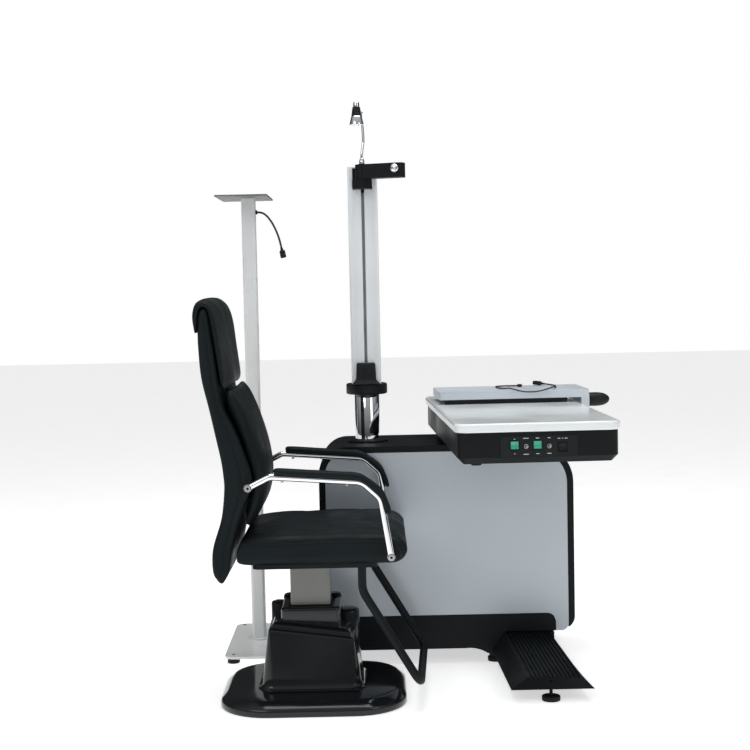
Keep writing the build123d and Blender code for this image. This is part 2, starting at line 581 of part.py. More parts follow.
def lamp_gooseneck():
    """Ferrule on the pivot pin, flexible neck, and the cross pin that carries the lamp head."""
    base = ARM_Z1 + 2.3
    ferrule = rod(MAST_X, PIVOT_Y, base, base + 16, 8)
    ferrule -= rod(MAST_X, PIVOT_Y, base - 1, base + 12, 5 + RUNNING_GAP)
    points = [(MAST_X, PIVOT_Y, base + 15), (MAST_X + 1, PIVOT_Y + 1, 1640), (-22, 108, 1670), (-22, 118, 1700),
              (-28, LAMP_Y, 1738), (-28, LAMP_Y, LAMP_PIVOT_Z + 2)]
    neck = bent_bar(points, [60, 60, 60, 22], 4)
    return ferrule + neck + rod_x(LAMP_X - 9, -26, LAMP_Y, LAMP_PIVOT_Z, 3)


def turned(x, y, profile):
    """Solid turned about an upright axis from (radius, z) points."""
    wire = Polyline(*[(r, 0, z) for r, z in profile], close=True)
    return Pos(x, y, 0) * revolve(make_face(wire), axis=Axis.Z)


def lamp_shade():
    """Small chromed bell, open downwards."""
    profile = [(22, 1722), (22.5, 1726), (19, 1742), (15, 1752), (11, 1752), (14, 1749), (17.5, 1740),
               (20.5, 1726), (20.5, 1722)]
    return turned(LAMP_X, HEAD_Y, profile)


def lamp_head():
    """Ribbed lamp holder with a rear lug for the tilt pin and a chromed-looking cap above."""
    profile = [(0, 1752), (16, 1752), (16, 1757), (14.6, 1758), (15.2, 1763), (13.8, 1764), (14.2, 1769),
               (12.6, 1770), (12.6, 1779), (9.5, 1780), (9.5, 1791), (6, 1797), (0, 1797)]
    head = turned(LAMP_X, HEAD_Y, profile)
    lug = box(LAMP_X - 4, LAMP_X + 4, HEAD_Y + 8, LAMP_Y, LAMP_PIVOT_Z - 6, LAMP_PIVOT_Z + 6)
    lug += rod_x(LAMP_X - 4, LAMP_X + 4, LAMP_Y, LAMP_PIVOT_Z, 6)
    return head + lug - rod_x(LAMP_X - 20, LAMP_X + 20, LAMP_Y, LAMP_PIVOT_Z, 3 + RUNNING_GAP)


def lamp_bulb():
    """LED bulb in the bell."""
    return turned(LAMP_X, HEAD_Y, [(0, 1752), (8, 1752), (8, 1744), (6, 1738), (3, 1735), (0, 1734)])


# ---------------------------------------------------------------- table

def on_table(shape):
    """Place a shape drawn about the table's pivot onto the turned table."""
    return Pos(TABLE_X, TABLE_Y, 0) * Rot(0, 0, TABLE_YAW) * shape


def table_tray():
    """Black pan under the table top: bevelled lower edge, bearing hub and an opening behind the switches."""
    side, near, far = TABLE_HALF - TRAY_INSET, TABLE_NEAR + TRAY_INSET, TABLE_FAR - TRAY_INSET
    outer = slab(-side, side, near, far, TRAY_BOTTOM, TABLE_RIM, 25)
    outer = chamfer(outer.edges().group_by(Axis.Z)[0], length=18)
    inner = slab(-side + 4, side - 4, near + 4, far - 4, TRAY_BOTTOM + 4, TABLE_RIM + 1, 21)
    inner = chamfer(inner.edges().group_by(Axis.Z)[0], length=17)
    tray = outer - inner + rod(0, 0, TRAY_BOTTOM, TRAY_BOTTOM + 45, 58)
    tray -= rod(0, 0, TRAY_BOTTOM - 1, TRAY_BOTTOM + 41, POST_R + RUNNING_GAP)
    tray -= box(PANEL_X0 + 5, PANEL_X1 - 5, near - 1, near + 5, PANEL_Z0 + 5, PANEL_Z1 - 5)
    tray += rod(BRAKE_X, BRAKE_Y, TRAY_BOTTOM - 4, TRAY_BOTTOM + 8, 14)
    return on_table(tray - rod(BRAKE_X, BRAKE_Y, TRAY_BOTTOM - 5, TRAY_BOTTOM + 6, 5 + RUNNING_GAP))


def table_top():
    """White moulded table top with a rolled edge."""
    top = slab(-TABLE_HALF, TABLE_HALF, TABLE_NEAR, TABLE_FAR, TABLE_RIM, TABLE_TOP, 38)
    top = fillet(top.edges().group_by(Axis.Z)[-1], radius=9)
    return on_table(fillet(top.edges().group_by(Axis.Z)[0], radius=5))


def control_panel():
    """Switch plate on the near face of the tray, with a hole for each switch."""
    face_y = TABLE_NEAR + TRAY_INSET
    plate = box(PANEL_X0, PANEL_X1, face_y - 2, face_y, PANEL_Z0, PANEL_Z1)
    for x, z in ROCKERS.values():
        hole = ROCKER_HALF + 1
        plate -= box(x - hole, x + hole, face_y - 3, face_y + 1, z - hole, z + hole)
    for x, z in TOGGLES.values():
        plate += rod_y(x, face_y - 5, face_y, z, 6)
        plate -= rod_y(x, face_y - 6, face_y + 1, z, 4.5)
    return on_table(plate)


def rocker(x, z):
    """Rocker button, shown pressed at its upper half."""
    face_y = TABLE_NEAR + TRAY_INSET - 1
    h = ROCKER_HALF
    section = Polyline((0, -4.5, h), (0, -2.0, 0), (0, -4.5, -h), (0, 4, -h + 2), (0, 4, h - 2), close=True)
    body = Pos(-h, 0, 0) * extrude(make_face(section), amount=2 * h, dir=(1, 0, 0))
    pin = rod_x(-h - 0.7, h + 0.7, 0, 0, 1.5)
    return on_table(Pos(x, face_y, z) * Rot(ROCKER_TILT, 0, 0) * (body + pin))


def toggle(x, z):
    """Bat-handle lever on a ball."""
    face_y = TABLE_NEAR + TRAY_INSET
    lever = Pos(x, face_y, z) * Sphere(4) + rod_y(x, face_y - 16, face_y, z, 1.8)
    return on_table(lever + Pos(x, face_y - 16, z) * Sphere(2.6))


def table_brake_lever():
    """Lever under the tray that locks the table's swing."""
    stem = rod(BRAKE_X, BRAKE_Y, 704, TRAY_BOTTOM + 5, 5)
    bar = slab(BRAKE_X - 14, BRAKE_X + 14, BRAKE_Y - 46, BRAKE_Y + 14, 699, 708.5, 10)
    return on_table(stem + bar)


def instrument_platform():
    """Sliding plate for an instrument, with an end block outside the table's rim."""
    plate = slab(PLATE_X0, PLATE_X1, PLATE_Y0, PLATE_Y1, PLATE_Z0, PLATE_Z1, 6)
    return on_table(plate + box(END_BLOCK_X, PLATE_X1, PLATE_Y0, PLATE_Y1, END_BLOCK_BOTTOM, PLATE_Z0 + 10))


def platform_runners():
    """Two low runners under the platform, just clear of the table top."""
    bars = [box(-196, 196, y, y + 40, TABLE_TOP + 0.3, PLATE_Z0) for y in (PLATE_Y0 + 6, PLATE_Y1 - 46)]
    return on_table(Compound(bars))


def platform_handle():
    """Bullet-shaped grip on the end block."""
    length = HANDLE_LENGTH
    swell = Spline((19, 0, 0), (22, 0, 8), (22.5, 0, 30), (20.5, 0, 55), (13, 0, 71), (0, 0, length),
                   tangents=[(0.3, 0, 1), (-1, 0, 0)])
    edges = [Line((0, 0, 0), (19, 0, 0)), swell, Line((0, 0, length), (0, 0, 0))]
    body = revolve(make_face(edges), axis=Axis.Z)
    return on_table(Pos(PLATE_X1, HANDLE_Y, HANDLE_Z) * Rot(0, 90, 0) * body)


def cord_outlet():
    """Grommet that the platform cord comes out of."""
    x, y, z = TABLE_CORD[0]
    block = box(x, x + 14, y - 7, y + 7, PLATE_Z1, PLATE_Z1 + 9)
    return on_table(fillet(block.edges().filter_by(Axis.Z), radius=3))


def platform_cord():
    return on_table(cord_tube("platform_cord", TABLE_CORD, TABLE_CORD_D))


def platform_plug():
    """Low-voltage plug with a tapered tail, lying on the platform at the cord's end."""
    end, before = Vector(*TABLE_CORD[-1]), Vector(*TABLE_CORD[-2])
    out = (end - before).normalized()
    plane = Plane(origin=end, x_dir=(0, 0, 1), z_dir=out)
    tail = loft([plane * Circle(2.9), plane.offset(14) * Circle(5)])
    body = extrude(plane.offset(14) * RectangleRounded(13, 18, 4), amount=PLUG_LENGTH - 14)
    return on_table(tail + body)


# ---------------------------------------------------------------- projector stand

def stand_foot_plate():
    """Floor plate of the projector stand."""
    plate = slab(FOOT_X0, FOOT_X1, FOOT_Y0, FOOT_Y1, FOOT_Z0, FOOT_Z1, 32)
    plate += rod(STAND_X, STAND_Y, FOOT_Z1, FOOT_Z1 + 5, 38)
    for x, y in STAND_BOLTS:
        plate -= rod(x, y, FOOT_Z0 - 1, FOOT_Z1 + 1, 3.2)
    return plate


def stand_bolts():
    """Screws that hold the rubber feet to the foot plate."""
    screws = [rod(x, y, FOOT_Z0, FOOT_Z1, 3) + rod(x, y, FOOT_Z1, FOOT_Z1 + 2.5, 5.5) for x, y in STAND_BOLTS]
    return Compound(screws)


def stand_rubber_feet():
    """Rubber feet under the foot plate."""
    feet = [rod(x, y, 0, FOOT_Z0, 20) for x, y in STAND_BOLTS]
    return Compound([fillet(foot.edges().group_by(Axis.Z)[0], radius=3) for foot in feet])


def projector_pole():
    """Square tube with rounded corners, and the outlet for the projector's lead in its right side."""
    half, inner = STAND_HALF, STAND_HALF - 2.5
    tube = slab(STAND_X - half, STAND_X + half, STAND_Y - half, STAND_Y + half, FOOT_Z1 + 5, STAND_TOP, 10)
    tube -= slab(STAND_X - inner, STAND_X + inner, STAND_Y - inner, STAND_Y + inner,
                 FOOT_Z1 + 4, STAND_TOP + 1, 7.5)
    x, y, z = STAND_CORD[0]
    return tube - rod_x(STAND_X, x + 5, y, z, 5)


def pole_grommet():
    """Rubber grommet in the pole's outlet."""
    x, y, z = STAND_CORD[0]
    return rod_x(x - 4, x, y, z, 5) + rod_x(STAND_X + STAND_HALF, x, y, z, 7)


def projector_plate():
    """Mounting plate for the chart projector, with slots and four screw holes."""
    plate = slab(STAND_X - 98, STAND_X + 72, STAND_Y - 150, STAND_Y + 150, STAND_TOP, STAND_TOP + 5, 8)
    centre = STAND_X - 13
    for sx in (-1, 1):
        for sy in (-1, 1):
            plate -= rod(centre + sx * PLATE_HOLE_X / 2, STAND_Y + sy * PLATE_HOLE_Y / 2,
                         STAND_TOP - 1, STAND_TOP + 6, PLATE_HOLE_R)
    return plate


def pole_cord():
    return cord_tube("pole_cord", STAND_CORD, STAND_CORD_D)


def pole_connector():
    """Barrel connector with a tapered tail on the hanging end of the lead."""
    end, before = Vector(*STAND_CORD[-1]), Vector(*STAND_CORD[-2])
    out = (end - before).normalized()
    plane = Plane(origin=end, x_dir=(0, 1, 0), z_dir=out)
    tail = loft([plane * Circle(4.2), plane.offset(14) * Circle(8)])
    return tail + extrude(plane.offset(14) * Circle(10), amount=26)


NODES = {
    "chair_base_plate": chair_base_plate, "chair_lift_housing": chair_lift_housing,
    "lift_outer_tube": lift_outer_tube, "lift_actuator": lift_actuator, "lift_inner_tube": lift_inner_tube,
    "lift_push_rod": lift_push_rod, "seat_pan": seat_pan, "seat_cushion": seat_cushion,
    "back_shell": back_shell, "back_cushion": back_cushion, "headrest_cushion": headrest_cushion,
    "armrest_frames": armrest_frames, "armrest_pads": armrest_pads, "armrest_bolts": armrest_bolts,
    "footrest_loop": footrest_loop, "cabinet_wrap": cabinet_wrap, "cabinet_front_panel": cabinet_front_panel,
    "cabinet_back_panel": cabinet_back_panel, "cabinet_plinth": cabinet_plinth, "cabinet_frame": cabinet_frame,
    "power_supply": power_supply, "levelling_feet": levelling_feet, "mast_pole": mast_pole,
    "table_post": table_post, "outrigger_step": outrigger_step,
    "step_leveller": step_leveller, "mast_collar": mast_collar, "mast_profile": mast_profile,
    "mast_top_cap": mast_top_cap, "counterweight": counterweight,
    "arm_carriage": arm_carriage, "refractor_arm": refractor_arm, "arm_lock_knob": arm_lock_knob,
    "lamp_gooseneck": lamp_gooseneck, "lamp_shade": lamp_shade, "lamp_head": lamp_head, "lamp_bulb": lamp_bulb,
    "table_tray": table_tray, "table_top": table_top, "control_panel": control_panel,
    "table_brake_lever": table_brake_lever, "instrument_platform": instrument_platform,
    "platform_runners": platform_runners, "platform_handle": platform_handle, "cord_outlet": cord_outlet,
    "platform_cord": platform_cord, "platform_plug": platform_plug, "stand_foot_plate": stand_foot_plate,
    "stand_bolts": stand_bolts, "stand_rubber_feet": stand_rubber_feet, "projector_pole": projector_pole,
    "projector_plate": projector_plate, "pole_grommet": pole_grommet, "pole_cord": pole_cord,
    "pole_connector": pole_connector,
}


def export(name, shape):
    """Move a finished part to the unit's origin and write it."""
    placed = Pos(-SHIFT_X, -SHIFT_Y, 0) * shape
    export_step(placed, f"parts/{name}.step")


def main():
    os.makedirs("parts", exist_ok=True)
    for name, make in NODES.items():
        export(name, make())
    for name, (x, z) in ROCKERS.items():
        export(name, rocker(x, z))
    for name, (x, z) in TOGGLES.items():
        export(name, toggle(x, z))


main()
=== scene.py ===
"""Looks of the ophthalmic refraction unit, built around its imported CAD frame.

Layout coordinates are millimetres with X along the cabinet, Y to the back and Y = 0 on the
cabinet's front plane. at() turns them into the frame's metres.
"""
from math import cos, pi, radians, sin, tau

import bmesh
import bpy
from mathutils import Matrix, Vector, noise
from mathutils.bvhtree import BVHTree


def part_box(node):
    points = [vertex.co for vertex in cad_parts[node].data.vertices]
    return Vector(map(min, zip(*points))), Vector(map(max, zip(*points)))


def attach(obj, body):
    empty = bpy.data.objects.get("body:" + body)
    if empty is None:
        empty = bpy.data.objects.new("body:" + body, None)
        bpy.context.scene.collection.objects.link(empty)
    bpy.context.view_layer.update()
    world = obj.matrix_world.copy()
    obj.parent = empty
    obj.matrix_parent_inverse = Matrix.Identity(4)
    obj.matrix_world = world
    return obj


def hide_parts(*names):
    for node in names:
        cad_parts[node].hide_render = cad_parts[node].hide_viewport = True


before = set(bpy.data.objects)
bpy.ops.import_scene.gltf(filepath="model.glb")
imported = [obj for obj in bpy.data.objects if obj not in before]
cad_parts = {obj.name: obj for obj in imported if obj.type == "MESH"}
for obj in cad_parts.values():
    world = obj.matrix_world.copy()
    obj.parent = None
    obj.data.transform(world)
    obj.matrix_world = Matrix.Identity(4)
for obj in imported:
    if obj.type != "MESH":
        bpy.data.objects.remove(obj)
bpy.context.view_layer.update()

MM = 0.001
POLE_AXIS = Vector((-28.0, 176.0, 0.0))      # the chromed pole's axis in the layout
pole_low, pole_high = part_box("mast_pole")
LAYOUT = Vector(((pole_low.x + pole_high.x) / 2, (pole_low.y + pole_high.y) / 2, 0)) - POLE_AXIS * MM

CHAIR_Y = -309.0                             # the chair's middle plane
LIFT_X = -203.0                              # the lift column's axis
ARMREST_REACH = 275                          # from the chair's middle plane to an armrest's tube
OUTSIDE_PADS = 262                           # from the same plane, just outside the pads' side faces
NEAR_FAR = ((-1, "near"), (1, "far"))        # the chair's two sides
TABLE_PIVOT = Vector((412.0, 176.0, 0.0))
TABLE_YAW = radians(2.5)
TABLE_FACE_Y = -782.0                        # plane of the switches, square to the table
ARM_YAW = radians(-20)                       # turn of the refractor arm at rest
ARM_PIVOT = Vector((-28.0, 104.0, 0.0))
LAMP_AXIS = (-42, 96)


def at(x, y, z):
    """Layout millimetres to frame metres."""
    return Vector((x, y, z)) * MM + LAYOUT


def on_table(x, y, z):
    """Point given about the table's pivot, square to the table, to frame metres."""
    turned = Matrix.Rotation(TABLE_YAW, 3, "Z") @ Vector((x, y, 0))
    return at(TABLE_PIVOT.x + turned.x, TABLE_PIVOT.y + turned.y, z)


def on_arm(x, y, z):
    """Point given along the refractor arm from its pivot, to frame metres."""
    turned = Matrix.Rotation(ARM_YAW, 3, "Z") @ Vector((x, y, 0))
    return at(ARM_PIVOT.x + turned.x, ARM_PIVOT.y + turned.y, z)


# ---------------------------------------------------------------- camera, light and floor

CAMERA_PLACE = (0, -4556, 1207)
CAMERA_TILT = radians(-3.5)
CAMERA_ROLL = radians(-1.2)
LENS = 69.4


def make_camera():
    """Camera on the chair's side, level with the headrest, tilted down a little and rolled."""
    data = bpy.data.cameras.new("camera")
    data.lens = LENS
    data.sensor_width = 36
    data.clip_end = 60
    camera = bpy.data.objects.new("camera", data)
    bpy.context.scene.collection.objects.link(camera)
    aim = Matrix.Rotation(radians(90) + CAMERA_TILT, 4, "X") @ Matrix.Rotation(CAMERA_ROLL, 4, "Z")
    camera.matrix_world = Matrix.Translation(at(*CAMERA_PLACE)) @ aim
    bpy.context.scene.camera = camera


def area_light(name, place, target, size, power):
    data = bpy.data.lights.new(name, "AREA")
    data.shape = "RECTANGLE"
    data.size, data.size_y = size
    data.energy = power
    light = bpy.data.objects.new(name, data)
    bpy.context.scene.collection.objects.link(light)
    light.location = place
    light.rotation_euler = (Vector(target) - Vector(place)).to_track_quat("-Z", "Y").to_euler()


def make_studio():
    """White surround, bright in front and above but dim behind, soft boxes and a pale floor."""
    scene = bpy.context.scene
    scene.view_settings.view_transform = "Standard"
    world = bpy.data.worlds.new("studio")
    scene.world = world
    world.use_nodes = True
    nodes, links = world.node_tree.nodes, world.node_tree.links
    seen = nodes["Background"]
    seen.inputs["Color"].default_value = (1, 1, 1, 1)
    seen.inputs["Strength"].default_value = 1.0
    lit = nodes.new("ShaderNodeBackground")
    place = nodes.new("ShaderNodeTexCoord")
    split = nodes.new("ShaderNodeSeparateXYZ")
    ramp = nodes.new("ShaderNodeValToRGB")
    links.new(place.outputs["Generated"], split.inputs["Vector"])
    links.new(split.outputs["Z"], ramp.inputs["Fac"])
    ramp.color_ramp.elements[0].position = 0.0
    ramp.color_ramp.elements[0].color = (0.16, 0.17, 0.18, 1)
    ramp.color_ramp.elements[1].position = 0.62
    ramp.color_ramp.elements[1].color = (1, 1, 1, 1)
    links.new(ramp.outputs["Color"], lit.inputs["Color"])
    fade = nodes.new("ShaderNodeMapRange")
    fade.inputs["From Min"].default_value = -0.1
    fade.inputs["From Max"].default_value = 0.35
    fade.inputs["To Min"].default_value = 0.50
    fade.inputs["To Max"].default_value = 0.10
    links.new(split.outputs["Y"], fade.inputs["Value"])
    links.new(fade.outputs["Result"], lit.inputs["Strength"])
    chooser = nodes.new("ShaderNodeMixShader")
    rays = nodes.new("ShaderNodeLightPath")
    links.new(rays.outputs["Is Camera Ray"], chooser.inputs["Fac"])
    links.new(lit.outputs["Background"], chooser.inputs[1])
    links.new(seen.outputs["Background"], chooser.inputs[2])
    links.new(chooser.outputs["Shader"], nodes["World Output"].inputs["Surface"])
    area_light("key", (-2.4, -3.4, 3.2), (0, 0, 0.8), (2.4, 1.6), 32)
    area_light("fill", (3.0, -3.2, 2.4), (0.2, 0, 0.7), (1.4, 2.0), 18)
    area_light("top", (0.1, 0.1, 3.6), (0.1, 0.1, 0), (2.6, 2.6), 78)
    bpy.ops.mesh.primitive_plane_add(size=40, location=(0, 0, 0))
    floor = bpy.context.object
    floor.name = "floor"
    floor.data.materials.append(floor_paint())


# ---------------------------------------------------------------- materials

FINISHES = {}


def finish(name, colour, roughness, mottle, metallic=0.0, coat=0.0, bump=None, cells=None, brushed=None,
           smudge=(6.0, 0.08), glow=0.0, specular=0.5):
    """Principled material, made once. Each detail is (scale, strength): mottle varies the colour,
    smudge the roughness, bump adds fine relief, cells leather-like cells and brushed lines along an axis."""
    if name in FINISHES:
        return FINISHES[name]
    material = FINISHES[name] = bpy.data.materials.new(f"{name}_look")
    material.use_nodes = True
    nodes, links = material.node_tree.nodes, material.node_tree.links
    shader = nodes["Principled BSDF"]
    shader.inputs["Base Color"].default_value = (*colour, 1)
    shader.inputs["Roughness"].default_value = roughness
    shader.inputs["Metallic"].default_value = metallic
    shader.inputs["Coat Weight"].default_value = coat
    shader.inputs["Coat Roughness"].default_value = 0.06
    shader.inputs["Specular IOR Level"].default_value = specular
    if glow:
        shader.inputs["Emission Color"].default_value = (*colour, 1)
        shader.inputs["Emission Strength"].default_value = glow
    place = nodes.new("ShaderNodeTexCoord")

    def cloud(scale, detail=4.0, stretch=None):
        texture = nodes.new("ShaderNodeTexNoise")
        texture.inputs["Scale"].default_value = scale
        texture.inputs["Detail"].default_value = detail
        if stretch:
            mapping = nodes.new("ShaderNodeMapping")
            mapping.inputs["Scale"].default_value = stretch
            links.new(place.outputs["Object"], mapping.inputs["Vector"])
            links.new(mapping.outputs["Vector"], texture.inputs["Vector"])
        else:
            links.new(place.outputs["Object"], texture.inputs["Vector"])
        return texture

    texture = cloud(mottle[0])
    mix = nodes.new("ShaderNodeMix")
    mix.data_type = "RGBA"
    dark = [max(0.0, c * (1 - 4 * mottle[1])) for c in colour]
    light = [min(1.0, c * (1 + 4 * mottle[1]) + 0.04 * mottle[1]) for c in colour]
    mix.inputs[6].default_value = (*dark, 1)
    mix.inputs[7].default_value = (*light, 1)
    links.new(texture.outputs["Fac"], mix.inputs[0])
    links.new(mix.outputs[2], shader.inputs["Base Color"])
    if glow:
        links.new(mix.outputs[2], shader.inputs["Emission Color"])
    texture = cloud(smudge[0], 6.0)
    spread = nodes.new("ShaderNodeMapRange")
    spread.inputs["From Min"].default_value = 0.3
    spread.inputs["From Max"].default_value = 0.7
    spread.inputs["To Min"].default_value = max(0.02, roughness * (1 - smudge[1] * 3))
    spread.inputs["To Max"].default_value = min(1.0, roughness * (1 + smudge[1] * 3))
    links.new(texture.outputs["Fac"], spread.inputs["Value"])
    links.new(spread.outputs["Result"], shader.inputs["Roughness"])
    relief = None
    for kind, detail in (("noise", bump), ("cells", cells), ("lines", brushed)):
        if not detail:
            continue
        scale, strength = detail[0], detail[1]
        if kind == "cells":
            texture = nodes.new("ShaderNodeTexVoronoi")
            texture.feature = "DISTANCE_TO_EDGE"
            texture.inputs["Scale"].default_value = scale
            links.new(place.outputs["Object"], texture.inputs["Vector"])
            height = texture.outputs["Distance"]
        elif kind == "lines":
            height = cloud(scale, 2.0, detail[2]).outputs["Fac"]
        else:
            height = cloud(scale, 5.0).outputs["Fac"]
        node = nodes.new("ShaderNodeBump")
        node.inputs["Strength"].default_value = strength
        node.inputs["Distance"].default_value = 0.0006
        links.new(height, node.inputs["Height"])
        if relief:
            links.new(relief.outputs["Normal"], node.inputs["Normal"])
        relief = node
    if relief:
        links.new(relief.outputs["Normal"], shader.inputs["Normal"])
    return material


def leatherette():
    """Soft black-blue imitation leather: pebbled grain and slight colour drift."""
    return finish("leatherette", (0.0085, 0.0125, 0.0140), 0.50, mottle=(5.0, 0.05), cells=(620, 0.14),
                  bump=(90, 0.10), smudge=(9, 0.10), specular=0.08)


def piping_leather():
    return finish("piping_leather", (0.007, 0.010, 0.012), 0.42, mottle=(9.0, 0.05), cells=(700, 0.12),
                  specular=0.12)


def gloss_black():
    """Gloss-black moulded plastic with a slight orange peel."""
    return finish("gloss_black", (0.009, 0.011, 0.013), 0.13, coat=0.08, mottle=(4, 0.04), bump=(38, 0.06),
                  smudge=(5, 0.16), specular=0.36)


def satin_black():
    """Black powder coat."""
    return finish("satin_black", (0.0085, 0.0105, 0.012), 0.42, mottle=(7, 0.04), bump=(900, 0.06),
                  specular=0.10)


def matt_black():
    """Textured black plastic."""
    return finish("matt_black", (0.008, 0.010, 0.012), 0.50, mottle=(12, 0.05), bump=(1400, 0.10),
                  smudge=(10, 0.06), specular=0.20)


def silver_paint():
    """Silver-grey metallic paint with fine flake."""
    return finish("silver_paint", (0.48, 0.53, 0.575), 0.38, metallic=0.30, coat=0.15, mottle=(900, 0.018),
                  bump=(1500, 0.05), smudge=(3, 0.06))


def white_gloss():
    return finish("white_gloss", (0.82, 0.86, 0.87), 0.18, coat=0.2, mottle=(3, 0.008), bump=(30, 0.03),
                  smudge=(4, 0.15))


def pale_paint():
    """Pale blue-grey powder coat."""
    return finish("pale_paint", (0.60, 0.65, 0.70), 0.36, mottle=(5, 0.012), bump=(800, 0.07),
                  smudge=(5, 0.08))


def white_paint():
    """White powder coat."""
    return finish("white_paint", (0.76, 0.78, 0.78), 0.32, mottle=(5, 0.012), bump=(800, 0.06),
                  smudge=(5, 0.08))


def beige_paint():
    """Warm grey powder coat of the lift column."""
    return finish("beige_paint", (0.215, 0.220, 0.205), 0.42, mottle=(6, 0.015), bump=(900, 0.08),
                  smudge=(6, 0.07))


def anodised():
    """Light silver anodised extrusion with fine upright draw lines."""
    return finish("anodised", (0.82, 0.85, 0.87), 0.40, metallic=0.12, mottle=(6, 0.01),
                  brushed=(60, 0.10, (60, 60, 0.6)), smudge=(8, 0.06))


def chrome():
    return finish("chrome", (0.82, 0.83, 0.85), 0.05, metallic=1.0, mottle=(10, 0.008), bump=(12, 0.02),
                  smudge=(14, 0.20))


def steel():
    return finish("steel", (0.50, 0.50, 0.51), 0.32, metallic=1.0, mottle=(25, 0.05),
                  brushed=(120, 0.15, (1, 30, 1)), smudge=(20, 0.10))


def galvanised():
    """Mottled zinc-plated sheet."""
    return finish("galvanised", (0.15, 0.15, 0.145), 0.46, metallic=0.4, mottle=(60, 0.10), cells=(70, 0.12),
                  smudge=(40, 0.15))


def rubber():
    return finish("rubber", (0.009, 0.010, 0.011), 0.62, mottle=(20, 0.06), bump=(700, 0.15),
                  smudge=(15, 0.06), specular=0.2)


def cord_rubber():
    return finish("cord_rubber", (0.008, 0.009, 0.010), 0.42, mottle=(30, 0.06), bump=(500, 0.10),
                  smudge=(20, 0.08))


def lit_green():
    """Green translucent rocker with its lamp on."""
    return finish("lit_green", (0.02, 0.30, 0.19), 0.18, coat=0.3, mottle=(60, 0.12), glow=0.15,
                  smudge=(20, 0.1))


def legend_paint():
    return finish("legend_paint", (0.55, 0.58, 0.60), 0.6, mottle=(200, 0.05))


def frosted_bulb():
    return finish("frosted_bulb", (0.85, 0.84, 0.78), 0.25, mottle=(40, 0.02), smudge=(20, 0.1))


def seam_shadow():
    return finish("seam_shadow", (0.008, 0.009, 0.010), 0.8, mottle=(40, 0.05))


def floor_paint():
    return finish("floor_paint", (0.95, 0.95, 0.95), 0.8, mottle=(3.0, 0.002), glow=0.62)


NODE_FINISH = {
    steel: ["lift_outer_tube", "lift_actuator", "armrest_bolts", "cabinet_frame", "power_supply",
            "table_post", "counterweight", "stand_bolts", "chair_toggle", "column_toggle"],
    beige_paint: ["lift_inner_tube"],
    chrome: ["lift_push_rod", "armrest_frames"],
    satin_black: ["seat_pan", "footrest_loop", "cabinet_wrap", "cabinet_plinth", "outrigger_step",
                  "arm_carriage", "refractor_arm", "table_tray"],
    silver_paint: ["cabinet_front_panel", "cabinet_back_panel"],
    rubber: ["levelling_feet", "step_leveller", "stand_rubber_feet", "pole_grommet"],
    matt_black: ["control_panel", "table_brake_lever", "platform_runners", "cord_outlet", "aux_rocker"],
    anodised: ["mast_profile", "mast_top_cap"],
    white_gloss: ["table_top"],
    pale_paint: ["instrument_platform"],
    white_paint: ["stand_foot_plate", "projector_pole"],
    galvanised: ["projector_plate"],
    lit_green: ["power_rocker", "lamp_rocker"],
    frosted_bulb: ["lamp_bulb"],
}
ROUNDED_NODES = {
    "cabinet_wrap": 2.0, "cabinet_front_panel": 0.8, "cabinet_back_panel": 0.8, "cabinet_plinth": 2.0,
    "table_tray": 3.0, "instrument_platform": 1.6, "stand_foot_plate": 1.5, "arm_carriage": 2.5,
    "control_panel": 0.6, "projector_plate": 0.6, "mast_top_cap": 1.0, "platform_runners": 1.0,
    "table_brake_lever": 2.0, "outrigger_step": 0.8, "refractor_arm": 3.0, "aux_rocker": 0.8,
    "power_rocker": 0.8, "lamp_rocker": 0.8, "mast_profile": 0.6, "lift_inner_tube": 0.8,
    "cord_outlet": 1.0,
}


def paint_nodes():
    """Give every carried-over CAD node its finish, and round the sharp edges of those that show."""
    for make, names in NODE_FINISH.items():
        for name in names:
            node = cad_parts[name]
            node.data.materials.clear()
            node.data.materials.append(make())
    for name, width in ROUNDED_NODES.items():
        round_edges(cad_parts[name], width * MM)


# ---------------------------------------------------------------- mesh building

def round_edges(piece, width, segments=3):
    """Round every edge sharper than 35 degrees."""
    bevel = piece.modifiers.new("rounded", "BEVEL")
    bevel.width = width
    bevel.segments = segments
    bevel.limit_method = "ANGLE"
    bevel.angle_limit = radians(35)
    bevel.harden_normals = False
    bevel.use_clamp_overlap = True


def add_piece(name, mesh, body, material, replaces=()):
    """Link a finished mesh or curve as a piece that rides on a body."""
    piece = bpy.data.objects.new(name, mesh)
    bpy.context.scene.collection.objects.link(piece)
    mesh.materials.append(material)
    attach(piece, body)
    if replaces:
        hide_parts(*replaces)
    return piece


def mesh_from(name, rings, open_top=False, smooth=True, closed=False):
    """Skin rings of equal point count, capped at both ends; closed joins the last ring to the first."""
    mesh = bmesh.new()
    rows = [[mesh.verts.new(p) for p in ring] for ring in rings]
    count = len(rows[0])
    pairs = list(zip(rows, rows[1:])) + ([(rows[-1], rows[0])] if closed else [])
    for low, high in pairs:
        for i in range(count):
            j = (i + 1) % count
            mesh.faces.new((low[i], low[j], high[j], high[i]))
    if not closed:
        mesh.faces.new(list(reversed(rows[0])))
        if not open_top:
            mesh.faces.new(rows[-1])
    bmesh.ops.recalc_face_normals(mesh, faces=mesh.faces)
    data = bpy.data.meshes.new(name)
    mesh.to_mesh(data)
    mesh.free()
    for face in data.polygons:
        face.use_smooth = smooth
    return data


